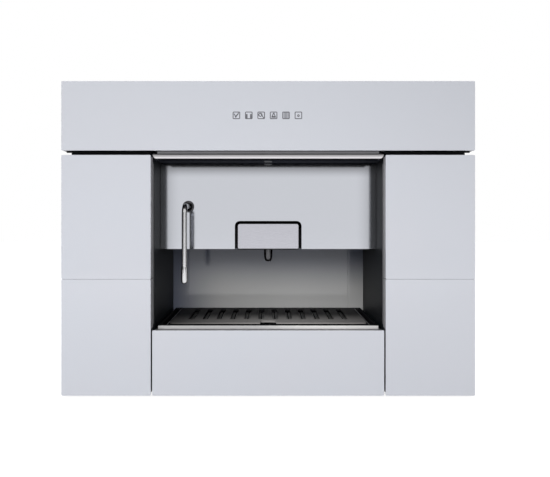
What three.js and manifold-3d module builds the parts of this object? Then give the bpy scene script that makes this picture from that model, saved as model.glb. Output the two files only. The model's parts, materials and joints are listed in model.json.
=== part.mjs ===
// Built-in coffee machine, 60 cm wide and 45 cm high.
// Millimetres. +X right, -Y out of the front, +Z up. The origin is the middle of the base, on the shelf.
import * as THREE from 'three';
import { mergeVertices } from 'three/addons/utils/BufferGeometryUtils.js';
import Module from 'manifold-3d';

const wasm = await Module();
wasm.setup();

// ---------------------------------------------------------------- driving dimensions
const FRONT_WIDTH = 595;        // fascia and side panels, outer edge to outer edge
const FRONT_TOP = 455;          // top edge of the fascia above the shelf
const DEPTH = 400;              // front glass to rear panel
const FRONT_BOTTOM = 2.5;       // lower edge of the panels above the shelf
const FASCIA_HEIGHT = 100;
const FASCIA_GAP = 6.2;         // shadow gap under the fascia
const DOOR_SPLIT_Z = 170;       // seam between the upper and lower side panels
const SEAM = 0.4;               // width of that seam
const SIDE_INNER_X = 168.9;     // inner edge of the side panels
const CENTRE_GAP = 2;           // gap between the centre panel and the side panels
const CENTRE_TOP = 96.4;        // top edge of the lower centre panel
const GLASS = 4;                // glass thickness
const FRONT_THICKNESS = 22.5;   // glass and liner together
const LINER_INSET = 1;          // liner edge behind the glass edge
const LINER_WALL = 2.5;
const FIT = 0.3;                // gap between pieces that touch
const SLIDE_FIT = 0.6;          // gap between pieces that slide or turn

const FOOT_HEIGHT = 4;
const FOOT_RADIUS = 14;
const FOOT_INSET = 40;          // foot centre from the carcass edges
const CARCASS_INSET = 19.5;     // carcass side behind the front's outer edge
const SHEET = 1.5;              // carcass sheet steel
const CARCASS_TOP = 449;
const FRAME_INSET = 8;          // frame edge behind the front's outer edge
const FRAME_GAP = 2.2;          // clearance between the panels' liners and the frame
const FRAME_SHEET = 3;
const FRAME_BAR = 6;            // frame bars round the compartments
const FLANGE = 12;              // folded edges of the top cover

const NICHE_HALF = 168;         // inner face of the niche walls
const NICHE_WALL = 3;
const NICHE_CEILING_Z = 343.3;
const PANEL_DEPTH = 83.4;       // front of the upper glass panel behind the front glass
const PANEL_BOTTOM_Z = 209.7;
const BACK_WALL_DEPTH = 230.5;
const BACK_WALL_SEAM_X = 141;
const SEAM_GROOVE = 1.2;
const DECK_Z = 347;
const LAMP_DEPTH = 56;
const LAMP_WIDTH = 12;
const LAMP_LENGTH = 34;

const OUTLET_WIDTH = 94.6;
const OUTLET_HEIGHT = 39;
const OUTLET_GAP = 4.6;         // dark joint round the outlet cover
const OUTLET_RADIUS = 3;
const OUTLET_TRAVEL = 48;
const OUTLET_BODY_DEPTH = 40;
const NOZZLE_RADIUS = 6.8;
const NOZZLE_LENGTH = 20.5;
const FEED_RADIUS = 3;          // coffee feed tube
const GUIDE_WALL = 2.5;

const WAND_X = -124.3;
const WAND_Z = 275.7;
const WAND_REACH = 51.5;        // pipe in front of the upper glass panel
const WAND_DROP = 114.7;        // pipe tip below the ball
const WAND_PIPE_RADIUS = 4;
const WAND_BEND = 14;
const BALL_RADIUS = 5.5;
const ESCUTCHEON_RADIUS = 8.8;
const ESCUTCHEON_PROUD = 4;
const SLEEVE_RADIUS = 4.9;
const SLEEVE_LENGTH = 25;

const TRAY_HALF = 162;
const TRAY_TOP = 99.8;
const RIM_FRONT = 17;           // width of the rim in front of the grille
const RIM_SIDE = 4;             // and at its sides and rear
const GROOVE_FRONT = 5;         // gap between rim and grille
const GROOVE_SIDE = 10;
const GROOVE_REAR = 3;
const LEDGE_DEPTH = 8;          // ledge under the grille's skirts, below the rim
const SKIRT = 2;                // thickness of the skirts
const TRAY_WALL = 1.5;
const TRAY_FLOOR_Z = 12;
const TRAY_BACK_GAP = 4.5;      // tray rim to back wall
const GRILLE_SHEET = 3;
const GRILLE_PROUD = 1;         // grille above the rim
const SLOT_WIDTH = 9;
const SLOT_PITCH = 21.8;
const SLOT_COUNT = 12;
const SLOT_BORDER = 36;         // plain border at the grille's front
const SLOT_REAR_BORDER = 20;
const NOTCH_WIDTH = 24;
const NOTCH_DEPTH = 22;
const REAR_NOTCH_WIDTH = 38;
const TRIM = 1.2;               // metal strip along the tray's front edge

const HINGE_EDGE = 5;           // hinge axis inside the panel's outer edge
const HINGE_DEPTH = 16;         // hinge axis behind the front glass
const HINGE_PIN_RADIUS = 2;
const HINGE_PIN_LENGTH = 6;
const LUG = 2;                  // hinge lug thickness
const LUG_RADIUS = 4;
const LUG_REACH = 9;            // lug onto the frame, from the frame's edge
const LUG_CLEARANCE = 17;       // cut in the door liner, inboard of the axis

const DRAWER_FLOOR = 2;
const DRAWER_SIDE = 22;         // height of the carriers' low side walls
const RUNNER = 2;               // runner ribs on the base plate
const SIDE_DRAWER_LENGTH = 280;
const BIN_HEIGHT = 118;
const TANK_HEIGHT = 136;
const BIN_WALL = 2;
const SHELF_Z = 140;            // grinder shelf

const GRINDER_DEPTH = 120;      // grinder axis behind the front glass
const GRINDER_RADIUS = 40;
const GRINDER_HEIGHT = 70;
const BURR_RADIUS = 21;
const BURR_HEIGHT = 24;
const HOPPER_HEIGHT = 60;
const HOPPER_LENGTH = 160;
const HOPPER_WALL = 2.5;
const HOPPER_THROAT = 18;
const LID_SHEET = 3;
const LID_KNUCKLE_MARGIN = 14;   // ends of the lid's knuckle inside its sides
const LID_GRIP_SIZE = [30, 12];
const BURR_PLAY = 1.2;          // burr in its bore
const SHELF_DEPTH = 190;        // rear edge of the grinder shelf
const CABLE_RADIUS = 9;         // cable hole in that shelf

const HOUSING_INSET = 0.2;      // fascia housing behind the glass edge
const BOARD_WIDTH = 116;        // touch board
const BOARD_HEIGHT = 40;
const PLUG_WIDTH = 24;
const PLUG_HEIGHT = 10;
const PLUG_ABOVE = 10;          // plug over the touch board's lower edge
const PLUG_CLEARANCE = 2;
const BOARD = 1.6;              // circuit board thickness
const LIP_NOSE = 4;             // nose of the niche lip behind the front glass
const LIP_EDGE_RADIUS = 2.6;    // tight round under that nose
const LIP_CORNER = 7;           // rounded lower corners, seen from the front

const VENT_WIDTH = 3.5;         // ventilation slots
const VENT_PITCH = 10;
const SIDE_VENT_LENGTH = 50;
const SIDE_VENT_COUNT = 9;
const TOP_VENT_LENGTH = 60;
const TOP_VENT_COUNT = 12;
const REAR_VENT_HEIGHT = 80;
const REAR_VENT_Z = 300;
const REAR_VENT_COUNTS = [8, 14];
const VENT_MARGIN = 40;         // vents from the carcass edges

const SERVICE_BOX_DEPTH = 120;
const SWITCH_SIZE = [12, 21, 5];
const SWITCH_ABOVE = 30;        // switch above the middle of the box
const SWITCH_TILT = 8;          // degrees
const STEAM_HOLE_X = -60;
const STEAM_HOLE_DEPTH = 190;
const STEAM_HOLE_RADIUS = 12;
const STEAM_PIPE_RADIUS = 3;
const INLET_X = -90;
const INLET_Z = 60;
const INLET_HALF = 14;
const INLET_HEIGHT = 20;
const INLET_DEPTH = 24;
const BREW_SIZE = [110, 110, 170];
const BREW_CLEARANCE = 6.5;     // brew unit behind the niche
const BREW_X = -105;
const BREW_Z = 150;
const CHUTE_WIDTH = 22;
const HEATER_SIZE = [110, 56, 40];
const HEATER_PLACE = [75, 290]; // X and depth
const HEATER_LEG = 6;
const FIN = 3;
const FITTING_RADIUS = 5;       // hose and pipe fittings
const FITTING_LENGTH = 11;
const PUMP_SIZE = [44, 48, 48];
const PUMP_PLACE = [60, 320];
const PUMP_LEG = 10;
const PUMP_MOTOR = [13, 110];   // radius and length
const POWER_BOARD_SIZE = [150, 100];
const POWER_BOARD_PLACE = [-130, 300];
const POWER_BOARD_LEG = 8;
const HEAT_SINK_HEIGHT = 30;
const CAPACITOR_RADIUS = 9;
const CAPACITOR_HEIGHT = 26;

// ---------------------------------------------------------------- places worked out from them
const FRAME_WIDTH = FRONT_WIDTH - 2 * FRAME_INSET;
const CARCASS_WIDTH = FRONT_WIDTH - 2 * CARCASS_INSET;
const FRONT_Y = -DEPTH / 2;
const behind = (depth) => FRONT_Y + depth;
const FASCIA_BOTTOM = FRONT_TOP - FASCIA_HEIGHT;
const SIDE_TOP = FASCIA_BOTTOM - FASCIA_GAP;
const LOWER_TOP = DOOR_SPLIT_Z - SEAM / 2;
const UPPER_BOTTOM = DOOR_SPLIT_Z + SEAM / 2;
const SIDE_WIDTH = FRONT_WIDTH / 2 - SIDE_INNER_X;
const CENTRE_HALF = SIDE_INNER_X - CENTRE_GAP;
const LINER = FRONT_THICKNESS - GLASS - FIT;
const FRAME_FRONT = FRONT_THICKNESS + FRAME_GAP;
const BODY_START = FRAME_FRONT + FRAME_SHEET + FIT;
const BASE_Z = FOOT_HEIGHT + FIT;
const FLOOR_Z = BASE_Z + SHEET;
const RUNNER_TOP = FLOOR_Z + RUNNER;
const CARRIER_Z = RUNNER_TOP + FIT;
const SHEET_INNER = CARCASS_WIDTH / 2 - SHEET;
const BODY_END = DEPTH - SHEET - FIT;
const NICHE_OUTER = NICHE_HALF + NICHE_WALL;
const BAY_INNER = NICHE_OUTER + FIT;
const BAY_CENTRE = (BAY_INNER + SHEET_INNER) / 2;
const BAY_OPENING = SHEET_INNER - NICHE_OUTER - FRAME_BAR;
const TRAY_DEPTH = BACK_WALL_DEPTH - TRAY_BACK_GAP - FRAME_FRONT;
const GRILLE_HALF = TRAY_HALF - RIM_SIDE - GROOVE_SIDE;
const GRILLE_LENGTH = TRAY_DEPTH - RIM_FRONT - RIM_SIDE - GROOVE_FRONT - GROOVE_REAR;
const BREW_DEPTH = BACK_WALL_DEPTH + NICHE_WALL + BREW_CLEARANCE;
const GUIDE_HALF = OUTLET_WIDTH / 2 + OUTLET_GAP;
const GUIDE_DEPTH = OUTLET_BODY_DEPTH + 6;
const GUIDE_START = PANEL_DEPTH + GLASS + FIT;
const OUTLET_TOP = PANEL_BOTTOM_Z + OUTLET_HEIGHT;
const GUIDE_TOP = OUTLET_TOP + 1.5 * OUTLET_GAP;

// ---------------------------------------------------------------- materials
const finish = (color, roughness, metalness) =>
  new THREE.MeshStandardMaterial({ color, roughness, metalness });
const silverGlass = finish(0xd1d4db, 0.18, 0.1);
const polishedPanel = finish(0xc6c9d0, 0.08, 0.9);
const blackPlastic = finish(0x16171a, 0.55, 0);
const blackSteel = finish(0x1b1c1f, 0.45, 0.3);
const galvanised = finish(0x9a9da0, 0.5, 0.8);
const brushedSteel = finish(0xa4a4a2, 0.35, 1);
const satinAluminium = finish(0xc8c4c6, 0.3, 1);
const chrome = finish(0xdadcde, 0.1, 1);
const clearPlastic = finish(0x8f9aa3, 0.15, 0);
const greyPlastic = finish(0x55585c, 0.6, 0);
const boardGreen = finish(0x2c5a3c, 0.6, 0.1);
const castAlloy = finish(0x8c8e90, 0.55, 0.8);
const rubber = finish(0x222222, 0.85, 0);
const lampLens = finish(0xb8bcc4, 0.3, 0);

// ---------------------------------------------------------------- solids
function solidOf(geometry) {
  const bare = geometry.clone();
  bare.deleteAttribute('normal');
  bare.deleteAttribute('uv');
  const merged = mergeVertices(bare, 1e-4);
  return new wasm.Manifold(new wasm.Mesh({
    numProp: 3,
    vertProperties: new Float32Array(merged.attributes.position.array),
    triVerts: new Uint32Array(merged.index.array),
  }));
}

function geometryOf(solid) {
  const mesh = solid.getMesh();
  const shared = new THREE.BufferGeometry();
  shared.setAttribute('position', new THREE.BufferAttribute(mesh.vertProperties, 3));
  shared.setIndex(new THREE.BufferAttribute(mesh.triVerts, 1));
  const geometry = shared.toNonIndexed();
  geometry.computeVertexNormals();
  return geometry;
}

const join = (first, ...rest) => rest.reduce((sum, piece) => sum.add(piece), first);
const cut = (first, ...rest) => rest.reduce((sum, piece) => sum.subtract(piece), first);

// A block between two values on each axis.
function block([x0, x1], [y0, y1], [z0, z1]) {
  const box = new THREE.BoxGeometry(x1 - x0, y1 - y0, z1 - z0);
  return solidOf(box.translate((x0 + x1) / 2, (y0 + y1) / 2, (z0 + z1) / 2));
}

// A disc or rod along one axis; start is the centre of its lower end.
function rod(axis, radius, length, start = [0, 0, 0], sides = 24, endRadius = radius) {
  const geometry = new THREE.CylinderGeometry(endRadius, radius, length, sides);
  geometry.translate(0, length / 2, 0);
  if (axis === 'x') geometry.rotateZ(-Math.PI / 2);
  if (axis === 'z') geometry.rotateX(Math.PI / 2);
  return solidOf(geometry.translate(...start));
}

function ball(radius, centre = [0, 0, 0]) {
  return solidOf(new THREE.SphereGeometry(radius, 16, 10).translate(...centre));
}

// The outline of a rectangle with rounded corners; round lists which of them are: bl, br, tr, tl.
function roundedOutline(width, height, radius, round = ['bl', 'br', 'tr', 'tl']) {
  const at = (corner) => (round.includes(corner) ? radius : 0);
  const [bl, br, tr, tl] = [at('bl'), at('br'), at('tr'), at('tl')];
  const half = width / 2;
  const shape = new THREE.Shape();
  shape.moveTo(-half + bl, 0);
  shape.lineTo(half - br, 0);
  if (br) shape.absarc(half - br, br, br, -Math.PI / 2, 0);
  shape.lineTo(half, height - tr);
  if (tr) shape.absarc(half - tr, height - tr, tr, 0, Math.PI / 2);
  shape.lineTo(-half + tl, height);
  if (tl) shape.absarc(-half + tl, height - tl, tl, Math.PI / 2, Math.PI);
  shape.lineTo(-half, bl);
  if (bl) shape.absarc(-half + bl, bl, bl, Math.PI, Math.PI * 1.5);
  return shape;
}

// An upright plate: its front is at y = 0, its lower edge at z = 0, its middle at x = 0.
function upright(shape, thickness, segments = 3) {
  const geometry = new THREE.ExtrudeGeometry(shape, {
    depth: thickness, bevelEnabled: false, curveSegments: segments,
  });
  return solidOf(geometry.rotateX(Math.PI / 2).translate(0, thickness, 0));
}

// A level plate: its underside is at z = 0; the shape's y runs back from y = 0.
function level(shape, thickness, segments = 3) {
  const geometry = new THREE.ExtrudeGeometry(shape, {
    depth: thickness, bevelEnabled: false, curveSegments: segments,
  });
  return solidOf(geometry);
}

// A form with the same outline all along X, drawn as [y, z] points by the shape.
function alongX(shape, halfWidth, segments = 4) {
  const geometry = new THREE.ExtrudeGeometry(shape, {
    depth: 2 * halfWidth, bevelEnabled: false, curveSegments: segments,
  });
  // The shape's x and y become Y and Z, and the length becomes X.
  geometry.rotateX(Math.PI / 2).rotateZ(Math.PI / 2);
  return solidOf(geometry.translate(-halfWidth, 0, 0));
}

// A body of revolution about Z from [radius, z] points that start and end on the axis.
function turned(points, sides = 28) {
  const profile = points.map(([radius, z]) => new THREE.Vector2(radius, z));
  return solidOf(new THREE.LatheGeometry(profile, sides).rotateX(Math.PI / 2));
}

// A block whose bottom and top are rectangles of different size, both centred on the z axis.
function tapered([bottomX, bottomY], [topX, topY], height) {
  const corner = (x, y, z) => [[-x, -y, z], [x, -y, z], [x, y, z], [-x, y, z]];
  const points = [...corner(bottomX / 2, bottomY / 2, 0), ...corner(topX / 2, topY / 2, height)];
  const faces = [[0, 3, 2, 1], [4, 5, 6, 7], [0, 1, 5, 4], [1, 2, 6, 5], [2, 3, 7, 6], [3, 0, 4, 7]];
  const index = faces.flatMap(([a, b, c, d]) => [a, b, c, a, c, d]);
  const geometry = new THREE.BufferGeometry();
  geometry.setAttribute('position', new THREE.Float32BufferAttribute(points.flat(), 3));
  geometry.setIndex(index);
  return solidOf(geometry);
}

// A pipe of round section along a curve.
function pipe(curve, radius, steps, sides) {
  const section = new THREE.Shape().absarc(0, 0, radius, 0, Math.PI * 2);
  const geometry = new THREE.ExtrudeGeometry(section, {
    steps, extrudePath: curve, bevelEnabled: false, curveSegments: sides / 2,
  });
  return solidOf(geometry);
}

// Copies of a solid in a row, as one tool for cutting.
function row(solid, count, [stepX, stepY, stepZ]) {
  const copies = [];
  for (let i = 0; i < count; i += 1) {
    copies.push(solid.translate([i * stepX, i * stepY, i * stepZ]));
  }
  return join(...copies);
}

const machine = new THREE.Group();

function piece(parent, name, solid, material, position = [0, 0, 0]) {
  const mesh = new THREE.Mesh(geometryOf(solid), material);
  mesh.name = name;
  mesh.position.set(...position);
  parent.add(mesh);
  return mesh;
}

function assembly(parent, position = [0, 0, 0]) {
  const group = new THREE.Group();
  group.position.set(...position);
  parent.add(group);
  return group;
}

// ---------------------------------------------------------------- glass fronts and their liners
const frontGlass = (width, height) => upright(roundedOutline(width, height, 1.5), GLASS, 2);

// A moulded liner: a shallow tray that opens to the rear, with stiffening ribs and a solid hinge edge.
function frontLiner(width, height, options = {}) {
  const { ribs = 2, solidLeft = 0, solidRight = 0, inset = LINER_INSET, depth = LINER } = options;
  const w = width - 2 * inset;
  const h = height - 2 * inset;
  const x0 = -w / 2 + Math.max(LINER_WALL, solidLeft);
  const x1 = w / 2 - Math.max(LINER_WALL, solidRight);
  const pocket = block([x0, x1], [LINER_WALL, depth + 1], [LINER_WALL, h - LINER_WALL]);
  let liner = cut(upright(roundedOutline(w, h, 1.5), depth, 2), pocket);
  for (let i = 1; i <= ribs; i += 1) {
    const z = (h * i) / (ribs + 1);
    liner = join(liner, block([x0 - 0.5, x1 + 0.5], [LINER_WALL - 0.5, depth * 0.6],
      [z - LINER_WALL / 2, z + LINER_WALL / 2]));
  }
  return liner.translate([0, 0, inset]);
}

// ---------------------------------------------------------------- control fascia
function buildFascia() {
  const group = assembly(machine, [0, FRONT_Y, FASCIA_BOTTOM]);
  const boardZ = FASCIA_HEIGHT / 2 - BOARD_HEIGHT / 2;
  piece(group, 'fascia_glass', frontGlass(FRONT_WIDTH, FASCIA_HEIGHT), silverGlass);

  const recess = block([-BOARD_WIDTH / 2 - FIT, BOARD_WIDTH / 2 + FIT], [-1, BOARD + FIT],
    [boardZ - FIT, boardZ + BOARD_HEIGHT + FIT]);
  const plugX = PLUG_WIDTH / 2 + PLUG_CLEARANCE;
  const plugHole = block([-plugX, plugX], [0, LINER + 1],
    [boardZ + PLUG_ABOVE - PLUG_CLEARANCE, boardZ + PLUG_ABOVE + PLUG_HEIGHT + PLUG_CLEARANCE]);
  const depth = FRAME_FRONT - GLASS - 2 * FIT;
  const shell = frontLiner(FRONT_WIDTH, FASCIA_HEIGHT, { ribs: 1, inset: HOUSING_INSET, depth });
  const housing = cut(shell, recess, plugHole);
  piece(group, 'fascia_housing', housing, blackPlastic, [0, GLASS + FIT, 0]);

  const board = join(
    block([-BOARD_WIDTH / 2, BOARD_WIDTH / 2], [0, BOARD - FIT], [0, BOARD_HEIGHT]),
    block([-PLUG_WIDTH / 2, PLUG_WIDTH / 2], [BOARD - FIT - 0.2, BOARD + 8],
      [PLUG_ABOVE, PLUG_ABOVE + PLUG_HEIGHT]),
  );
  piece(group, 'touch_board', board, boardGreen, [0, GLASS + 2 * FIT, boardZ]);
}

// ---------------------------------------------------------------- carcass
function buildFeet() {
  const x = CARCASS_WIDTH / 2 - FOOT_INSET;
  const places = {
    front_left: [-x, behind(BODY_START + FOOT_INSET)],
    front_right: [x, behind(BODY_START + FOOT_INSET)],
    rear_left: [-x, behind(BODY_END - FOOT_INSET)],
    rear_right: [x, behind(BODY_END - FOOT_INSET)],
  };
  const r = FOOT_RADIUS;
  const foot = turned([[0, 0], [r - 1, 0], [r, 1], [r, FOOT_HEIGHT], [0, FOOT_HEIGHT]], 20);
  for (const [place, [px, py]] of Object.entries(places)) {
    piece(machine, `foot_${place}`, foot, rubber, [px, py, 0]);
  }
}

function buildCarcass() {
  const yFront = behind(BODY_START);
  const yEnd = behind(BODY_END);

  // base plate with runner ribs for the three drawers and folded rear edge
  const inner = SHEET_INNER - FIT;
  let base = block([-inner, inner], [yFront, yEnd], [BASE_Z, FLOOR_Z]);
  const bayRunner = BAY_OPENING / 3;
  const trayRunner = TRAY_HALF * 2 / 3;
  const runnerX = [-BAY_CENTRE - bayRunner, -BAY_CENTRE + bayRunner, -trayRunner, trayRunner,
    BAY_CENTRE - bayRunner, BAY_CENTRE + bayRunner];
  for (const x of runnerX) {
    const length = Math.abs(x) > NICHE_HALF ? SIDE_DRAWER_LENGTH : TRAY_DEPTH - FLANGE;
    base = join(base, block([x - 4, x + 4], [yFront, yFront + length], [FLOOR_Z - 0.5, RUNNER_TOP]));
  }
  base = join(base, block([-inner, inner], [yEnd - SHEET, yEnd], [BASE_Z, BASE_Z + FLANGE]));
  piece(machine, 'base_plate', base, galvanised);

  // side panels with two fields of louvres
  for (const side of [-1, 1]) {
    const x = side < 0 ? [-CARCASS_WIDTH / 2, -SHEET_INNER] : [SHEET_INNER, CARCASS_WIDTH / 2];
    const plate = block([x[0], x[1]], [yFront, behind(DEPTH)], [BASE_Z, CARCASS_TOP - SHEET - FIT]);
    const vent = block([x[0] - 1, x[1] + 1], [0, SIDE_VENT_LENGTH], [0, VENT_WIDTH]);
    const field = row(vent, SIDE_VENT_COUNT, [0, 0, VENT_PITCH]);
    const fieldY = yEnd - VENT_MARGIN - SIDE_VENT_LENGTH;
    const fieldHeight = SIDE_VENT_COUNT * VENT_PITCH;
    const panel = cut(plate,
      field.translate([0, fieldY, BASE_Z + VENT_MARGIN]),
      field.translate([0, fieldY, CARCASS_TOP - VENT_MARGIN / 2 - fieldHeight]));
    piece(machine, side < 0 ? 'left_side_panel' : 'right_side_panel', panel, galvanised);
  }

  // top cover folded down over both sides
  const wide = CARCASS_WIDTH / 2 + FIT + SHEET;
  const topVent = block([0, VENT_WIDTH], [0, TOP_VENT_LENGTH], [CARCASS_TOP - 5, CARCASS_TOP + 1]);
  const topVents = row(topVent, TOP_VENT_COUNT, [VENT_PITCH, 0, 0]);
  const ventY = yEnd - VENT_MARGIN - TOP_VENT_LENGTH;
  const top = cut(
    join(
      block([-wide, wide], [yFront, behind(DEPTH)], [CARCASS_TOP - SHEET, CARCASS_TOP]),
      block([-wide, -wide + SHEET], [yFront, behind(DEPTH)],
        [CARCASS_TOP - FLANGE, CARCASS_TOP - SHEET / 2]),
      block([wide - SHEET, wide], [yFront, behind(DEPTH)], [CARCASS_TOP - FLANGE, CARCASS_TOP - SHEET / 2]),
    ),
    topVents.translate([-VENT_MARGIN - TOP_VENT_COUNT * VENT_PITCH, ventY, 0]),
    topVents.translate([VENT_MARGIN, ventY, 0]),
  );
  piece(machine, 'top_cover', top, galvanised);

  // rear panel with ventilation slots and the hole for the mains inlet
  const rearVent = block([0, VENT_WIDTH], [yEnd - 1, behind(DEPTH) + 1],
    [REAR_VENT_Z, REAR_VENT_Z + REAR_VENT_HEIGHT]);
  const [leftVents, rightVents] = REAR_VENT_COUNTS;
  const rear = cut(
    block([-inner, inner], [yEnd + FIT, behind(DEPTH)], [BASE_Z, CARCASS_TOP - SHEET - FIT]),
    row(rearVent, rightVents, [VENT_PITCH, 0, 0]).translate([VENT_MARGIN, 0, 0]),
    row(rearVent, leftVents, [VENT_PITCH, 0, 0]).translate([-inner + VENT_MARGIN, 0, 0]),
    block([INLET_X - INLET_HALF - FIT, INLET_X + INLET_HALF + FIT], [yEnd - 1, behind(DEPTH) + 1],
      [INLET_Z - FIT, INLET_Z + INLET_HEIGHT + FIT]),
  );
  piece(machine, 'rear_panel', rear, galvanised);

  // upper deck over the niche and both bays
  const deck = cut(
    block([-inner, inner], [yFront, yEnd - FIT], [DECK_Z, DECK_Z + SHEET]),
    rod('z', STEAM_HOLE_RADIUS, 10, [STEAM_HOLE_X, behind(STEAM_HOLE_DEPTH), DECK_Z - 4]),
  );
  piece(machine, 'upper_deck', deck, galvanised);
}

// ---------------------------------------------------------------- front frame with the hinge lugs
function hingeLug(side, z, pinUp) {
  const axisX = side * (FRONT_WIDTH / 2 - HINGE_EDGE);
  const axisY = behind(HINGE_DEPTH);
  const frameY = behind(FRAME_FRONT) + 0.5;
  const inboard = side * (FRAME_WIDTH / 2 - LUG_REACH);
  const outboard = axisX + side * LUG_RADIUS;
  const between = (a, b) => [Math.min(a, b), Math.max(a, b)];
  const pinStart = pinUp ? z + LUG - 0.5 : z + 0.5 - HINGE_PIN_LENGTH;
  return join(
    block(between(axisX, inboard), [axisY - LUG_RADIUS, frameY], [z, z + LUG]),
    block(between(axisX, outboard), [axisY, frameY], [z, z + LUG]),
    rod('z', LUG_RADIUS, LUG, [axisX, axisY, z], 24),
    rod('z', HINGE_PIN_RADIUS, HINGE_PIN_LENGTH, [axisX, axisY, pinStart], 20),
  );
}

const LUG_TOP_Z = SIDE_TOP - LUG - 2 * SLIDE_FIT;
const LUG_BOTTOM_Z = UPPER_BOTTOM + 2 * SLIDE_FIT;

function buildFrame() {
  const y = [behind(FRAME_FRONT), behind(FRAME_FRONT + FRAME_SHEET)];
  const through = [y[0] - 1, y[1] + 1];
  const bottom = BASE_Z + FRAME_BAR / 2;
  const bayX = [NICHE_OUTER + FRAME_BAR / 2, SHEET_INNER - FRAME_BAR / 2];
  const mirrored = ([a, b]) => [-b, -a];
  let frame = block([-FRAME_WIDTH / 2, FRAME_WIDTH / 2], y, [BASE_Z, CARCASS_TOP]);
  frame = cut(frame, block([-NICHE_HALF, NICHE_HALF], through, [bottom, NICHE_CEILING_Z]));
  for (const x of [bayX, mirrored(bayX)]) {
    frame = cut(frame,
      block(x, through, [bottom, LOWER_TOP - FRAME_BAR]),
      block(x, through, [UPPER_BOTTOM + FRAME_BAR, SIDE_TOP - FRAME_BAR]));
  }
  frame = cut(frame, block([-40, 40], through, [FASCIA_BOTTOM + 30, FASCIA_BOTTOM + 55]));
  for (const side of [-1, 1]) {
    frame = join(frame, hingeLug(side, LUG_TOP_Z, false), hingeLug(side, LUG_BOTTOM_Z, true));
  }
  piece(machine, 'front_frame', frame, blackSteel);
}

// ---------------------------------------------------------------- metal lip under the fascia
function buildLip() {
  const z0 = NICHE_CEILING_Z;
  const z1 = FASCIA_BOTTOM - FIT;
  const backY = FRAME_FRONT - FIT;
  const noseZ = z0 + LIP_EDGE_RADIUS;
  const bow = z1 - noseZ;
  const shape = new THREE.Shape();
  shape.moveTo(backY, z0);
  shape.lineTo(backY, z1);
  shape.lineTo(LIP_NOSE + bow, z1);
  shape.absarc(LIP_NOSE + bow, noseZ, bow, Math.PI / 2, Math.PI);
  shape.absarc(LIP_NOSE + LIP_EDGE_RADIUS, noseZ, LIP_EDGE_RADIUS, Math.PI, Math.PI * 1.5);
  const bar = alongX(shape, CENTRE_HALF, 5);
  const outline = roundedOutline(2 * CENTRE_HALF, z1 - z0 + 1, LIP_CORNER, ['bl', 'br']);
  const rounded = upright(outline, backY + 2, 5).translate([0, -1, z0]);
  piece(machine, 'niche_lip', bar.intersect(rounded), satinAluminium, [0, FRONT_Y, 0]);
}

// ---------------------------------------------------------------- niche
function buildNiche() {
  const yFront = behind(BODY_START);
  const wallEnd = behind(BACK_WALL_DEPTH + NICHE_WALL);
  const wallTop = DECK_Z - FIT;
  piece(machine, 'left_niche_wall',
    block([-NICHE_OUTER, -NICHE_HALF], [yFront, wallEnd], [FLOOR_Z + FIT, wallTop]), blackSteel);
  piece(machine, 'right_niche_wall',
    block([NICHE_HALF, NICHE_OUTER], [yFront, wallEnd], [FLOOR_Z + FIT, wallTop]), blackSteel);

  const inner = NICHE_HALF - FIT;
  const lampX = LAMP_WIDTH / 2;
  const lampY = [behind(LAMP_DEPTH - LAMP_LENGTH / 2), behind(LAMP_DEPTH + LAMP_LENGTH / 2)];
  const ceiling = cut(
    block([-inner, inner], [yFront, behind(PANEL_DEPTH - FIT)], [NICHE_CEILING_Z, wallTop]),
    block([-lampX - FIT, lampX + FIT], [lampY[0] - FIT, lampY[1] + FIT],
      [NICHE_CEILING_Z - 1, wallTop - 1]),
  );
  piece(machine, 'niche_ceiling', ceiling, blackPlastic);
  const lens = level(roundedOutline(LAMP_WIDTH, LAMP_LENGTH, LAMP_WIDTH / 2 - 0.1), 2);
  piece(machine, 'niche_lamp_lens', lens, lampLens, [0, lampY[0], NICHE_CEILING_Z]);

  // polished upper panel: cut-out for the outlet at its lower edge, hole for the wand's escutcheon
  const panelHeight = wallTop - FIT - PANEL_BOTTOM_Z;
  const cutHeight = OUTLET_HEIGHT + OUTLET_GAP + 1;
  const cutOutline = roundedOutline(2 * GUIDE_HALF, cutHeight, OUTLET_RADIUS + OUTLET_GAP, ['tr', 'tl']);
  const cutOut = upright(cutOutline, GLASS + 2).translate([0, -1, -1]);
  const wandHole = rod('y', ESCUTCHEON_RADIUS + FIT, GLASS + 2, [WAND_X, -1, WAND_Z - PANEL_BOTTOM_Z], 40);
  const panel = cut(upright(roundedOutline(2 * inner, panelHeight, 0.5, []), GLASS), cutOut, wandHole);
  piece(machine, 'upper_glass_panel', panel, polishedPanel, [0, behind(PANEL_DEPTH), PANEL_BOTTOM_Z]);

  // stainless back wall with its two upright seams
  const wallY = [behind(BACK_WALL_DEPTH), behind(BACK_WALL_DEPTH) + 2];
  const grooveHalf = SEAM_GROOVE / 2;
  const groove = block([-grooveHalf, grooveHalf], [wallY[0] - 1, wallY[0] + 0.8], [0, PANEL_BOTTOM_Z]);
  const back = cut(
    block([-inner, inner], wallY, [FLOOR_Z + FIT, PANEL_BOTTOM_Z - FIT]),
    groove.translate([-BACK_WALL_SEAM_X, 0, 0]),
    groove.translate([BACK_WALL_SEAM_X, 0, 0]),
  );
  piece(machine, 'back_wall', back, brushedSteel);

  // underside of the upper housing, notched for the outlet's guide
  const underside = cut(
    block([-inner, inner], [behind(GUIDE_START), behind(BACK_WALL_DEPTH + NICHE_WALL)],
      [PANEL_BOTTOM_Z, PANEL_BOTTOM_Z + NICHE_WALL]),
    block([-GUIDE_HALF - GUIDE_WALL - FIT, GUIDE_HALF + GUIDE_WALL + FIT],
      [behind(GUIDE_START) - 1, behind(GUIDE_START + GUIDE_DEPTH + GUIDE_WALL) + FIT],
      [PANEL_BOTTOM_Z - 1, PANEL_BOTTOM_Z + NICHE_WALL + 1]),
  );
  piece(machine, 'housing_underside', underside, blackPlastic);
}

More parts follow.
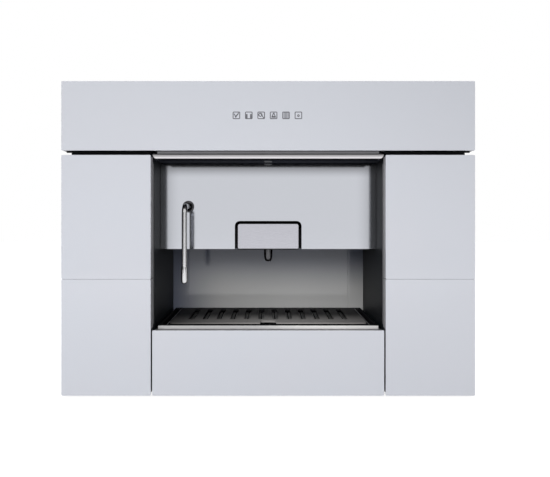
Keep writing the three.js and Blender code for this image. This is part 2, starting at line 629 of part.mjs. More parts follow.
// ---------------------------------------------------------------- coffee outlet
function buildOutlet() {
  const group = assembly(machine, [0, behind(PANEL_DEPTH), PANEL_BOTTOM_Z]);
  const guideY = GUIDE_START - PANEL_DEPTH;
  const height = GUIDE_TOP - PANEL_BOTTOM_Z;

  // guide: a black channel behind the cut-out, open in front and below, with a bearing for the feed tube
  const outer = GUIDE_HALF + GUIDE_WALL;
  const feedY = guideY + OUTLET_BODY_DEPTH / 2;
  const channel = cut(
    block([-outer, outer], [guideY, guideY + GUIDE_DEPTH + GUIDE_WALL], [0, height + GUIDE_WALL]),
    block([-GUIDE_HALF, GUIDE_HALF], [guideY - 1, guideY + GUIDE_DEPTH], [-1, height]),
    rod('z', FEED_RADIUS + FIT, GUIDE_WALL + 4, [0, feedY, height - 2], 24),
  );
  piece(group, 'outlet_guide', channel, blackPlastic);

  const cover = upright(roundedOutline(OUTLET_WIDTH, OUTLET_HEIGHT, OUTLET_RADIUS), guideY - FIT);
  piece(group, 'outlet_cover', cover, brushedSteel);

  // spout block behind the cover, on two side wings that run in the guide
  const half = OUTLET_WIDTH / 2 - 4;
  const wing = GUIDE_HALF - SLIDE_FIT;
  const bore = rod('z', FEED_RADIUS + SLIDE_FIT, OUTLET_HEIGHT + 2, [0, feedY, -1], 24);
  const body = cut(
    join(
      block([-half, half], [guideY, guideY + OUTLET_BODY_DEPTH], [1, OUTLET_HEIGHT - 2]),
      block([-wing, wing], [guideY + 8, guideY + 16], [1, OUTLET_HEIGHT - 8]),
    ),
    bore,
  );
  piece(group, 'outlet_body', body, blackPlastic);

  // nozzle: tapered round tip under the block
  const r = NOZZLE_RADIUS;
  const tip = cut(
    turned([
      [0, -NOZZLE_LENGTH], [r * 0.55, -NOZZLE_LENGTH], [r * 0.85, -NOZZLE_LENGTH + 3],
      [r, -NOZZLE_LENGTH + 9], [r, 0.7], [0, 0.7],
    ], 28),
    rod('z', FEED_RADIUS + SLIDE_FIT / 2, NOZZLE_LENGTH, [0, 0, -NOZZLE_LENGTH + 4], 20),
    rod('z', 1.5, 8, [0, 0, -NOZZLE_LENGTH - 1], 12),
  );
  piece(group, 'outlet_nozzle', tip, chrome, [0, feedY, 0]);

  // fixed feed tube on which the outlet slides
  const tubeBottom = -NOZZLE_LENGTH + 5.5;
  const flangeZ = height + GUIDE_WALL + FIT;
  const tube = cut(
    join(
      rod('z', FEED_RADIUS, flangeZ + 14 - tubeBottom, [0, 0, tubeBottom], 20),
      rod('z', FEED_RADIUS * 2.4, 3, [0, 0, flangeZ], 20),
    ),
    rod('z', FEED_RADIUS - 1, flangeZ + 20 - tubeBottom, [0, 0, tubeBottom - 2], 16),
  );
  piece(group, 'coffee_feed_tube', tube, chrome, [0, feedY, 0]);
}

// ---------------------------------------------------------------- steam wand
function buildWand() {
  const group = assembly(machine, [WAND_X, behind(PANEL_DEPTH), WAND_Z]);
  const ringRadius = ESCUTCHEON_RADIUS - 1.8;
  const wall = ringRadius + FIT;

  // escutcheon: a cup through the glass with a clamping flange and a nipple behind it
  const escutcheon = cut(
    join(
      rod('y', ESCUTCHEON_RADIUS, ESCUTCHEON_PROUD + GLASS + 2, [0, -ESCUTCHEON_PROUD, 0], 28),
      rod('y', 13, 4, [0, GLASS + FIT, 0], 28),
      rod('y', 4.5, 14, [0, GLASS + FIT + 1, 0], 24),
    ),
    rod('y', wall, ESCUTCHEON_PROUD + GLASS + 3.5, [0, -ESCUTCHEON_PROUD - 1, 0], 28),
  );
  piece(group, 'wand_escutcheon', escutcheon, chrome);

  // swivel: a ring round the ball, open at the top so that the pipe can tilt forwards and up
  const slot = WAND_PIPE_RADIUS + SLIDE_FIT;
  const swivel = cut(
    rod('y', ringRadius, 6, [0, -3, 0], 28),
    ball(BALL_RADIUS + 0.4),
    rod('y', BALL_RADIUS, 8, [0, -4, 0], 28),
    block([-slot, slot], [-5, 5], [0, ringRadius + 1]),
  );
  piece(group, 'wand_swivel', swivel, blackPlastic);

  // ball and bent pipe
  const path = new THREE.CurvePath();
  const corner = -(WAND_REACH - WAND_BEND);
  path.add(new THREE.LineCurve3(new THREE.Vector3(0, -2, 0), new THREE.Vector3(0, corner, 0)));
  const bendSteps = 6;
  let from = new THREE.Vector3(0, corner, 0);
  for (let i = 1; i <= bendSteps; i += 1) {
    const angle = (Math.PI / 2) * (i / bendSteps);
    const drop = WAND_BEND * (1 - Math.cos(angle));
    const to = new THREE.Vector3(0, corner - WAND_BEND * Math.sin(angle), -drop);
    path.add(new THREE.LineCurve3(from, to));
    from = to;
  }
  const sleeveTop = -(WAND_DROP - SLEEVE_LENGTH);
  const points = path.curves.map((line) => line.v1).concat([from]);
  const bend = new THREE.CatmullRomCurve3(points, false, 'centripetal');
  const pipeSolid = join(
    ball(BALL_RADIUS),
    rod('y', WAND_PIPE_RADIUS, -corner - 1, [0, corner, 0], 20),
    pipe(bend, WAND_PIPE_RADIUS - 0.02, 8, 16),
    rod('z', WAND_PIPE_RADIUS, -sleeveTop - WAND_BEND + 3, [0, -WAND_REACH, sleeveTop - 3], 20),
  );
  piece(group, 'wand_pipe', pipeSolid, chrome);

  // nozzle sleeve with rounded ends and three steam holes
  const r = SLEEVE_RADIUS;
  const sleeve = cut(
    turned([
      [0, 0], [r * 0.6, 0], [r * 0.9, 1.2], [r, 3.5], [r, SLEEVE_LENGTH - 4],
      [r * 0.94, SLEEVE_LENGTH - 1.2], [r * 0.9, SLEEVE_LENGTH], [0, SLEEVE_LENGTH],
    ], 28),
    rod('z', WAND_PIPE_RADIUS + FIT, 10, [0, 0, SLEEVE_LENGTH - 3.3], 24),
    rod('z', 0.8, 4, [0, 0, -1], 10),
  );
  piece(group, 'wand_nozzle', sleeve, chrome, [0, -WAND_REACH, -WAND_DROP]);
}

// ---------------------------------------------------------------- hinged upper doors
function buildDoor(side) {
  const name = side < 0 ? 'left' : 'right';
  const height = SIDE_TOP - UPPER_BOTTOM;
  const centreX = side * (SIDE_INNER_X + SIDE_WIDTH / 2);
  const group = assembly(machine, [centreX, FRONT_Y, UPPER_BOTTOM]);
  piece(group, `${name}_door_glass`, frontGlass(SIDE_WIDTH, height), silverGlass);

  const axisX = side * (SIDE_WIDTH / 2 - HINGE_EDGE);
  const axisY = HINGE_DEPTH - GLASS - FIT;
  const solidEdge = HINGE_EDGE * 2 + 1;
  const notchX = side * (SIDE_WIDTH / 2 - HINGE_EDGE - LUG_CLEARANCE);
  const outerX = side * (SIDE_WIDTH / 2 + 1);
  const notch = LUG + 4 * SLIDE_FIT;
  const notchXs = [Math.min(notchX, outerX), Math.max(notchX, outerX)];
  const pinBore = HINGE_PIN_RADIUS + FIT;
  const liner = cut(
    frontLiner(SIDE_WIDTH, height, side < 0 ? { solidLeft: solidEdge } : { solidRight: solidEdge }),
    block(notchXs, [-1, LINER + 1], [-1, notch]),
    block(notchXs, [-1, LINER + 1], [height - notch, height + 1]),
    rod('z', pinBore, HINGE_PIN_LENGTH + 4, [axisX, axisY, height - HINGE_PIN_LENGTH - 4], 20),
    rod('z', pinBore, HINGE_PIN_LENGTH + 4, [axisX, axisY, 0], 20),
  );
  piece(group, `${name}_door_liner`, liner, blackPlastic, [0, GLASS + FIT, 0]);
}

// ---------------------------------------------------------------- drawers in the lower side bays
// A carrier: the liner behind the glass with a floor and two low sides that run back from it.
function drawerCarrier(width, height, { half, length, shift = 0, ribs = 2 }) {
  const floorZ = CARRIER_Z - FRONT_BOTTOM;
  const edge = width / 2 - LINER_INSET - 1;
  const y = [LINER - 0.5, LINER + FRAME_GAP + length];
  const [x0, x1] = [shift - half, shift + half];
  return join(
    frontLiner(width, height, { ribs }),
    block([-edge, edge], [LINER - LINER_WALL, LINER], [floorZ - 1, floorZ + DRAWER_SIDE]),
    block([x0, x1], y, [floorZ, floorZ + DRAWER_FLOOR]),
    block([x0, x0 + BIN_WALL], y, [floorZ, floorZ + DRAWER_SIDE]),
    block([x1 - BIN_WALL, x1], y, [floorZ, floorZ + DRAWER_SIDE]),
  );
}

function container(length, width, height, draft) {
  const outside = tapered([width - draft, length - draft], [width, length], height);
  const inside = tapered([width - draft - 2 * BIN_WALL, length - draft - 2 * BIN_WALL],
    [width - 2 * BIN_WALL, length - 2 * BIN_WALL], height).translate([0, 0, BIN_WALL]);
  return cut(outside, inside);
}

const CARRIER_HALF = BAY_OPENING / 2 - SLIDE_FIT;
const VESSEL_WIDTH = 2 * (CARRIER_HALF - BIN_WALL - FIT);
const VESSEL_START = FRAME_FRONT + FRAME_SHEET + 4;
const BIN_LENGTH = SIDE_DRAWER_LENGTH - 50;
const TANK_LENGTH = SIDE_DRAWER_LENGTH - 12;

function buildGroundsDrawer() {
  const centreX = -(SIDE_INNER_X + SIDE_WIDTH / 2);
  const group = assembly(machine, [centreX, FRONT_Y, FRONT_BOTTOM]);
  const bayX = -BAY_CENTRE - centreX;
  const height = LOWER_TOP - FRONT_BOTTOM;
  const floorTop = CARRIER_Z - FRONT_BOTTOM + DRAWER_FLOOR + FIT;
  piece(group, 'grounds_drawer_glass', frontGlass(SIDE_WIDTH, height), silverGlass);
  const size = { half: CARRIER_HALF, length: SIDE_DRAWER_LENGTH, shift: bayX };
  const carrier = drawerCarrier(SIDE_WIDTH, height, size);
  piece(group, 'grounds_drawer_carrier', carrier, blackPlastic, [0, GLASS + FIT, 0]);
  const bin = container(BIN_LENGTH, VESSEL_WIDTH, BIN_HEIGHT, 6);
  piece(group, 'grounds_bin', bin, greyPlastic, [bayX, VESSEL_START + BIN_LENGTH / 2, floorTop]);
}

function buildTankDrawer() {
  const centreX = SIDE_INNER_X + SIDE_WIDTH / 2;
  const group = assembly(machine, [centreX, FRONT_Y, FRONT_BOTTOM]);
  const bayX = BAY_CENTRE - centreX;
  const height = LOWER_TOP - FRONT_BOTTOM;
  const floorTop = CARRIER_Z - FRONT_BOTTOM + DRAWER_FLOOR + FIT;
  piece(group, 'tank_drawer_glass', frontGlass(SIDE_WIDTH, height), silverGlass);
  const size = { half: CARRIER_HALF, length: SIDE_DRAWER_LENGTH, shift: bayX };
  const carrier = drawerCarrier(SIDE_WIDTH, height, size);
  piece(group, 'tank_drawer_carrier', carrier, blackPlastic, [0, GLASS + FIT, 0]);
  const centreY = VESSEL_START + TANK_LENGTH / 2;
  const tank = container(TANK_LENGTH, VESSEL_WIDTH, TANK_HEIGHT, 4);
  piece(group, 'water_tank', tank, clearPlastic, [bayX, centreY, floorTop]);
  const lid = cut(
    join(
      block([-VESSEL_WIDTH / 2, VESSEL_WIDTH / 2], [-TANK_LENGTH / 2, TANK_LENGTH / 2], [0, LID_SHEET]),
      block([-VESSEL_WIDTH / 2 + BIN_WALL + SLIDE_FIT, VESSEL_WIDTH / 2 - BIN_WALL - SLIDE_FIT],
        [-TANK_LENGTH / 2 + BIN_WALL + SLIDE_FIT, TANK_LENGTH / 2 - BIN_WALL - SLIDE_FIT], [-2.5, 0.5]),
    ),
    level(roundedOutline(44, 60, 10), 12).translate([0, -TANK_LENGTH / 2 + 20, -5]),
  );
  piece(group, 'tank_lid', lid, blackPlastic, [bayX, centreY, floorTop + TANK_HEIGHT + FIT]);
}

// ---------------------------------------------------------------- drip tray drawer
function buildDripDrawer() {
  const group = assembly(machine, [0, FRONT_Y, 0]);
  const width = 2 * CENTRE_HALF;
  const height = CENTRE_TOP - FRONT_BOTTOM;
  piece(group, 'drip_drawer_glass', frontGlass(width, height), silverGlass, [0, 0, FRONT_BOTTOM]);

  const carrierHalf = TRAY_HALF - 3;
  const carrier = drawerCarrier(width, height, { half: carrierHalf, length: TRAY_DEPTH - 6, ribs: 1 });
  piece(group, 'drip_drawer_carrier', carrier, blackPlastic, [0, GLASS + FIT, FRONT_BOTTOM]);

  // tray: a deep basin under a flat rim with a vertical front edge and a ledge for the grille
  const tray = assembly(group, [0, FRONT_THICKNESS + FIT, 0]);
  const length = TRAY_DEPTH + FRAME_GAP - FIT;
  const rimUnder = TRAY_TOP - LEDGE_DEPTH - 2;
  const basinHalf = carrierHalf - BIN_WALL - FIT;
  const floorTop = CARRIER_Z + DRAWER_FLOOR + FIT;
  const grilleY = RIM_FRONT + GROOVE_FRONT;
  const ledge = 8;
  const wellHalf = GRILLE_HALF - ledge;
  const wellLength = GRILLE_LENGTH - 2 * ledge;
  const wellY = grilleY + GRILLE_LENGTH / 2;
  const trimFit = TRIM + FIT;
  const basin = cut(
    join(
      level(roundedOutline(2 * TRAY_HALF, length - trimFit, 3), TRAY_TOP - rimUnder)
        .translate([0, trimFit, rimUnder]),
      tapered([2 * basinHalf - 6, length - 14], [2 * basinHalf, length - 8], rimUnder + 0.5 - floorTop)
        .translate([0, length / 2, floorTop]),
    ),
    tapered([2 * wellHalf - 6, wellLength - 6], [2 * wellHalf, wellLength], TRAY_TOP - floorTop)
      .translate([0, wellY, floorTop + TRAY_WALL]),
    level(roundedOutline(2 * (TRAY_HALF - RIM_SIDE), length - RIM_FRONT - RIM_SIDE, 4), LEDGE_DEPTH + 1)
      .translate([0, RIM_FRONT, TRAY_TOP - LEDGE_DEPTH]),
  );
  piece(tray, 'drip_tray', basin, blackPlastic);
  const trimShape = roundedOutline(2 * TRAY_HALF, TRAY_TOP - rimUnder, 1);
  piece(tray, 'tray_front_trim', upright(trimShape, TRIM), satinAluminium, [0, 0, rimUnder]);

  // grille: a plate with long slots from front to back, a finger notch at each end and two side skirts
  const slotLength = GRILLE_LENGTH - SLOT_BORDER - SLOT_REAR_BORDER;
  const slot = level(roundedOutline(SLOT_WIDTH, slotLength, SLOT_WIDTH / 2 - 0.05), GRILLE_SHEET + 2, 2)
    .translate([-((SLOT_COUNT - 1) * SLOT_PITCH) / 2, SLOT_BORDER, -1]);
  const notch = level(roundedOutline(NOTCH_WIDTH, NOTCH_DEPTH + 4, 4, ['tr', 'tl']), GRILLE_SHEET + 2, 2);
  const rearOutline = roundedOutline(REAR_NOTCH_WIDTH, NOTCH_DEPTH, 4, ['bl', 'br']);
  const rearNotch = level(rearOutline, GRILLE_SHEET + 2, 2);
  const skirtDrop = LEDGE_DEPTH + GRILLE_PROUD - GRILLE_SHEET - FIT;
  const skirt = block([-SKIRT / 2, SKIRT / 2], [14, GRILLE_LENGTH - 14], [-skirtDrop, 0.5]);
  const plate = cut(
    join(
      level(roundedOutline(2 * GRILLE_HALF, GRILLE_LENGTH, 6), GRILLE_SHEET),
      skirt.translate([-GRILLE_HALF + SKIRT, 0, 0]),
      skirt.translate([GRILLE_HALF - SKIRT, 0, 0]),
    ),
    row(slot, SLOT_COUNT, [SLOT_PITCH, 0, 0]),
    notch.translate([0, -4, -1]),
    rearNotch.translate([0, GRILLE_LENGTH - NOTCH_DEPTH / 2, -1]),
  );
  piece(tray, 'drip_grille', plate, brushedSteel, [0, grilleY, TRAY_TOP + GRILLE_PROUD - GRILLE_SHEET]);
}

// ---------------------------------------------------------------- beans and grinder, left bay
const HOPPER_Z = SHELF_Z + SHEET + FIT + GRINDER_HEIGHT + FIT;
const HOPPER_WIDTH = BAY_OPENING - 4;

function buildGrinder() {
  const shelf = cut(
    block([-SHEET_INNER + FIT, -BAY_INNER], [behind(BODY_START), behind(SHELF_DEPTH)],
      [SHELF_Z, SHELF_Z + SHEET]),
    rod('z', CABLE_RADIUS, 8, [-BAY_CENTRE, behind(GRINDER_DEPTH + GRINDER_RADIUS / 2), SHELF_Z - 4], 20),
  );
  piece(machine, 'grinder_shelf', shelf, galvanised);

  const group = assembly(machine, [-BAY_CENTRE, behind(GRINDER_DEPTH), SHELF_Z + SHEET + FIT]);
  const r = GRINDER_RADIUS;
  const h = GRINDER_HEIGHT;
  const boreDepth = BURR_HEIGHT + 6;
  const body = cut(
    turned([[0, 0], [r - 3, 0], [r, 3], [r, h * 0.55], [r - 5, h * 0.62], [r - 5, h], [0, h]]),
    rod('z', BURR_RADIUS + BURR_PLAY, boreDepth + 1, [0, 0, h - boreDepth], 36),
    rod('z', 5 + SLIDE_FIT, 12, [0, 0, h - boreDepth - 10], 20),
  );
  piece(group, 'grinder_body', body, blackPlastic);

  // burr: a cone with straight cutting ridges on a short shaft
  const tip = BURR_RADIUS * 0.55;
  const cone = turned([[0, 0], [BURR_RADIUS - 1.5, 0], [tip, BURR_HEIGHT], [0, BURR_HEIGHT]], 24);
  let burr = join(cone, rod('z', 5, 9, [0, 0, -8.5], 20));
  const ridge = tapered([2.4, BURR_RADIUS - 1], [1.6, BURR_RADIUS * 0.62], BURR_HEIGHT - 3);
  for (let i = 0; i < 8; i += 1) {
    const blade = ridge.translate([0, (BURR_RADIUS - 1) / 2, 0.5]).rotate([0, 0, i * 45]);
    burr = join(burr, blade.intersect(rod('z', BURR_RADIUS, BURR_HEIGHT, [0, 0, 0.2], 36)));
  }
  piece(group, 'grinder_burr', burr, castAlloy, [0, 0, h - boreDepth + 1]);
}

function buildHopper() {
  const group = assembly(machine, [-BAY_CENTRE, behind(GRINDER_DEPTH), HOPPER_Z]);
  const w = HOPPER_WIDTH;
  const l = HOPPER_LENGTH;
  const wall = HOPPER_WALL;
  const funnel = 22;
  const throat = HOPPER_THROAT;
  const hingeY = 8;
  const axisZ = HOPPER_HEIGHT + 4;
  const ear = cut(
    join(
      block([-2, 2], [hingeY - 4, hingeY + 4], [HOPPER_HEIGHT - 2, axisZ]),
      rod('x', 4, 4, [-2, hingeY, axisZ], 20),
    ),
    rod('x', 1.8, 6, [-3, hingeY, axisZ], 16),
  );
  const [w2, l2] = [w / 2 - wall, l / 2 - wall];
  const hopper = cut(
    join(
      tapered([2 * throat + 10, 2 * throat + 10], [w, l], funnel),
      block([-w / 2, w / 2], [-l / 2, l / 2], [funnel - 0.2, HOPPER_HEIGHT]),
      ear.translate([-w / 2 + 8, 0, 0]),
      ear.translate([w / 2 - 8, 0, 0]),
    ),
    tapered([2 * throat - 4, 2 * throat - 4], [2 * w2, 2 * l2], funnel).translate([0, 0, wall]),
    block([-w2, w2], [-l2, l2], [funnel + wall - 0.1, HOPPER_HEIGHT - wall]),
    block([-w2, w2], [-l2, hingeY - 8], [HOPPER_HEIGHT - wall - 1, HOPPER_HEIGHT + 1]),
    rod('z', throat - 2, 12, [0, 0, -2], 28),
  );
  piece(group, 'bean_hopper', hopper, clearPlastic);

  // lid over the front half: a plate with a raised grip, hinged on a barrel between the ears
  const lidGroup = assembly(group, [0, hingeY, axisZ]);
  const reach = hingeY + l / 2;
  const margin = LID_KNUCKLE_MARGIN;
  const [gripWidth, gripLength] = LID_GRIP_SIZE;
  const lid = join(
    level(roundedOutline(w - 2, reach - 6, 4), LID_SHEET).translate([0, -reach, -2.6]),
    block([-w / 2 + margin, w / 2 - margin], [-7, 1], [-2.6, LID_SHEET - 2.6]),
    rod('x', 3.2, w - 2 * margin, [-w / 2 + margin, 0, 0], 20),
    rod('x', 1.5, w - margin, [-w / 2 + margin / 2, 0, 0], 16),
    level(roundedOutline(gripWidth, gripLength, 5), 8).translate([0, -reach + gripLength, -1]),
  );
  piece(lidGroup, 'hopper_lid', lid, blackPlastic);
}

// ---------------------------------------------------------------- service box and main switch
function buildServiceBox() {
  const z = [UPPER_BOTTOM + FRAME_BAR, SIDE_TOP - FRAME_BAR];
  const y = [0, SERVICE_BOX_DEPTH];
  const x = [BAY_INNER - BAY_CENTRE, SHEET_INNER - FIT - BAY_CENTRE];
  const group = assembly(machine, [BAY_CENTRE, behind(BODY_START), 0]);
  const switchZ = (z[0] + z[1]) / 2 + SWITCH_ABOVE;
  const [keyWidth, keyHeight, keyDepth] = SWITCH_SIZE;
  const slotX = keyWidth / 2 + 1;
  const slotZ = keyHeight / 2 + 1.5;
  const box = cut(
    block(x, y, z),
    block([x[0] + LINER_WALL, x[1] - LINER_WALL], [-1, y[1] - LINER_WALL],
      [z[0] + LINER_WALL, z[1] - LINER_WALL]),
    block([-slotX, slotX], [y[1] - 5, y[1] + 1], [switchZ - slotZ, switchZ + slotZ]),
  );
  piece(group, 'service_box', box, blackPlastic);

  const rocker = assembly(group, [0, y[1] - LINER_WALL + 1, switchZ]);
  rocker.rotation.x = THREE.MathUtils.degToRad(-SWITCH_TILT);
  const key = join(
    upright(roundedOutline(keyWidth, keyHeight, 2), keyDepth).translate([0, 1 - keyDepth, -keyHeight / 2]),
    rod('x', keyDepth / 2, keyWidth, [-keyWidth / 2, 0, 0], 20),
  );
  piece(rocker, 'main_switch', key, greyPlastic);
}

// ---------------------------------------------------------------- works behind and above the niche
function buildBrewUnit() {
  const [w, l, h] = BREW_SIZE;
  const group = assembly(machine, [BREW_X, behind(BREW_DEPTH), FLOOR_Z + FIT]);
  const z = BREW_Z - FLOOR_Z;
  const stand = (x) => block([x, x + 3], [0, l], [0, z + 2]);
  const chuteTop = z + 26;
  const chute = new THREE.Shape();
  const binEdge = -BAY_CENTRE - BREW_X;
  chute.moveTo(-w / 2 + 1, chuteTop - 2);
  chute.lineTo(binEdge, z + 4);
  chute.lineTo(binEdge, z);
  chute.lineTo(-w / 2 + 1, chuteTop - 24);
  const trough = cut(
    upright(chute, CHUTE_WIDTH),
    upright(chute, CHUTE_WIDTH - 4).translate([0, 2, 3]),
  );
  const unit = join(
    block([-w / 2, w / 2], [0, l], [z, z + h * 0.55]),
    rod('z', 38, h * 0.4, [0, l / 2, z + h * 0.5], 32),
    rod('y', 20, 26, [30, l - 6, z + 40], 28),
    stand(-w / 2 + 4),
    stand(w / 2 - 7),
    trough,
  );
  piece(group, 'brew_unit', unit, greyPlastic);
}

function buildThermoblock() {
  const [width, length, height] = HEATER_SIZE;
  const [x, y] = [width / 2, length / 2];
  const [placeX, placeDepth] = HEATER_PLACE;
  const group = assembly(machine, [placeX, behind(placeDepth), DECK_Z + SHEET + FIT]);
  const z = HEATER_LEG;
  const out = y + FIN + 1;
  const leg = (from) => block([from, from + FIN * 3], [-y * 0.7, y * 0.7], [0, z + 2]);
  const heater = join(
    block([-x, x], [-y, y], [z, z + height]),
    block([-x + 5, x - 5], [-out, -out + FIN], [z + 2, z + height]),
    block([-x + 5, x - 5], [out - FIN, out], [z + 2, z + height]),
    block([-x + 3, x - 3], [-out, out], [z + height / 2, z + height / 2 + FIN]),
    leg(-x + 5),
    leg(x - 5 - FIN * 3),
    rod('x', FITTING_RADIUS, FITTING_LENGTH + 1, [-x - FITTING_LENGTH, 0, z + height * 0.7], 20),
    rod('x', FITTING_RADIUS, FITTING_LENGTH + 1, [x - 1, 0, z + height * 0.7], 20),
  );
  piece(group, 'thermoblock', heater, castAlloy);
}

function buildPump() {
  const [width, length, height] = PUMP_SIZE;
  const [x, y] = [width / 2, length / 2];
  const [placeX, placeDepth] = PUMP_PLACE;
  const [motorRadius, motorLength] = PUMP_MOTOR;
  const group = assembly(machine, [placeX, behind(placeDepth), FLOOR_Z + FIT]);
  const axisZ = PUMP_LEG + height / 2;
  const reach = motorLength / 2 + FITTING_LENGTH;
  const leg = (from) => block([from, from + FIN], [-y + 4, y - 4], [0, PUMP_LEG + 2]);
  const pump = join(
    block([-x, x], [-y, y], [PUMP_LEG, PUMP_LEG + height]),
    rod('x', motorRadius, motorLength, [-motorLength / 2, 0, axisZ], 28),
    rod('x', FITTING_RADIUS, 2 * reach, [-reach, 0, axisZ], 20),
    leg(-x),
    leg(x - FIN),
  );
  piece(group, 'pump', pump, greyPlastic);
}

function buildPowerBoard() {
  const [width, length] = POWER_BOARD_SIZE;
  const [x, y] = [width / 2, length / 2];
  const [placeX, placeDepth] = POWER_BOARD_PLACE;
  const group = assembly(machine, [placeX, behind(placeDepth), DECK_Z + SHEET + FIT]);
  const top = POWER_BOARD_LEG + BOARD;
  const post = (px, py) => block([px - 3, px + 3], [py - 3, py + 3], [0, POWER_BOARD_LEG + 0.5]);
  const part = (from, to, height) => block([from[0], to[0]], [from[1], to[1]], [top - 0.2, top + height]);
  const capacitor = (px) => rod('z', CAPACITOR_RADIUS, CAPACITOR_HEIGHT, [px, -y * 0.4, top - 0.2], 20);
  const board = join(
    block([-x, x], [-y, y], [POWER_BOARD_LEG, top]),
    post(-x + 7, -y + 7), post(x - 7, -y + 7), post(-x + 7, y - 7), post(x - 7, y - 7),
    part([-x * 0.8, -y * 0.6], [-x * 0.27, y * 0.1], HEAT_SINK_HEIGHT),
    part([0, y * 0.3], [x * 0.8, y * 0.7], 14),
    capacitor(x * 0.13),
    capacitor(x * 0.45),
  );
  piece(group, 'power_board', board, boardGreen);

  // socket for the mains lead in the rear panel
  const inlet = assembly(machine, [INLET_X, behind(BODY_END), INLET_Z]);
  const wall = LINER_WALL;
  const socket = cut(
    join(
      block([-INLET_HALF, INLET_HALF], [-INLET_DEPTH, SHEET], [0, INLET_HEIGHT]),
      block([-INLET_HALF - 11, INLET_HALF + 11], [-2, 0], [-2, INLET_HEIGHT + 2]),
    ),
    block([-INLET_HALF + wall, INLET_HALF - wall], [-INLET_DEPTH + 6, SHEET + 1],
      [wall, INLET_HEIGHT - wall]),
  );
  piece(inlet, 'power_inlet', socket, blackPlastic);
}

function buildSteamPipe() {
  const start = new THREE.Vector3(WAND_X, behind(PANEL_DEPTH + GLASS + 2 * FIT + 15), WAND_Z);
  const hole = new THREE.Vector3(STEAM_HOLE_X, behind(STEAM_HOLE_DEPTH), DECK_Z);
  const [heaterX, heaterDepth] = HEATER_PLACE;
  const [heaterWidth, , heaterHeight] = HEATER_SIZE;
  const fittingX = heaterX - heaterWidth / 2 - FITTING_LENGTH;
  const fittingZ = DECK_Z + SHEET + FIT + HEATER_LEG + heaterHeight * 0.7;
  const end = new THREE.Vector3(fittingX - 2 * FIT, behind(heaterDepth), fittingZ);
  const route = new THREE.CatmullRomCurve3([
    start,
    start.clone().add(new THREE.Vector3(0, 14, 0)),
    new THREE.Vector3(WAND_X + 25, start.y + 45, WAND_Z + 25),
    hole.clone().add(new THREE.Vector3(0, 0, -12)),
    hole.clone().add(new THREE.Vector3(0, 0, 12)),
    end.clone().add(new THREE.Vector3(-34, -14, -8)),
    end.clone().add(new THREE.Vector3(-12, 0, 0)),
    end,
  ], false, 'centripetal');
  piece(machine, 'steam_pipe', pipe(route, STEAM_PIPE_RADIUS, 24, 8), satinAluminium);
}

buildFascia();
buildFeet();
buildCarcass();
buildFrame();
buildLip();
buildNiche();
buildOutlet();
buildWand();
buildDoor(-1);
buildDoor(1);
buildGroundsDrawer();
buildTankDrawer();
buildDripDrawer();
buildGrinder();
buildHopper();
buildServiceBox();
buildBrewUnit();
buildThermoblock();
buildPump();
buildPowerBoard();
buildSteamPipe();

export default machine;
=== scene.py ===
# %% [markdown]
# # A built-in coffee machine, dressed for a studio picture
# The solids of the machine are already finished and arrive as a fixed frame. This lesson gives them
# their finishes, adds the small things that are only looks, and sets up the camera and the light.
# Everything is in metres: X to the viewer's right, -Y out of the front, Z up.

# %% The frame
import json
import math

import bmesh
import bpy
from mathutils import Matrix, Vector


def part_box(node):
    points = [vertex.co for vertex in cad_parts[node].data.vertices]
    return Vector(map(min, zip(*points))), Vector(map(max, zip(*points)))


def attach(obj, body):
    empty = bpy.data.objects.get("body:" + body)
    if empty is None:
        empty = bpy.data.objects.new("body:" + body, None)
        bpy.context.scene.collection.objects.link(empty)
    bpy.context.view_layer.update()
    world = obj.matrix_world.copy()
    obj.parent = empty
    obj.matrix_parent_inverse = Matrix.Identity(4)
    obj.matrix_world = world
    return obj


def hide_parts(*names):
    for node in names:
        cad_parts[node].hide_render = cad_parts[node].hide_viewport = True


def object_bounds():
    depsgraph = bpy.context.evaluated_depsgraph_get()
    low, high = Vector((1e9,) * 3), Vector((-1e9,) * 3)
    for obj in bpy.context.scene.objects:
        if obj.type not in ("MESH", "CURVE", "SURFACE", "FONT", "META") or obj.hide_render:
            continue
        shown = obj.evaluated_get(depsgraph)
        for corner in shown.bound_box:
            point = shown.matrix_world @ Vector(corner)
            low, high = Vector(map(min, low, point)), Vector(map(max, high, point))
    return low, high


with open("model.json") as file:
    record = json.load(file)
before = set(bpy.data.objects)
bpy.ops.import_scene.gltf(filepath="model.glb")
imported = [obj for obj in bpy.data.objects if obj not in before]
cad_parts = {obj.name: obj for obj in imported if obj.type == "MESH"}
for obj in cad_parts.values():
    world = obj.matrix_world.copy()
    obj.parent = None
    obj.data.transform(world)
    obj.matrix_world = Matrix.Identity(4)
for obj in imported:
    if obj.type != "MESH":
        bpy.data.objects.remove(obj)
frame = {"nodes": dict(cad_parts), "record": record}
cad_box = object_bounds()
nodes = frame["nodes"]

# %% [markdown]
# ## The camera
# The picture was taken straight from the front, about a metre away, with the horizon a little above
# the middle of the machine. Verticals stay vertical, so the camera looks level and its frame is
# shifted instead of tilted. The niche walls show how far away it stood: they close in by about a
# fifth from front to back.

# %% Camera
FRONT_Y = cad_box[0][1]
EYE_DISTANCE = 1.0
EYE_HEIGHT = 0.2595
IMAGE_WIDTH = 550
PIXEL = 0.0014372               # size of a pixel on the front glass
SENSOR = 36.0
SHIFT_RIGHT, SHIFT_DOWN = 6.8, 21.5     # how far the frame is moved, in pixels

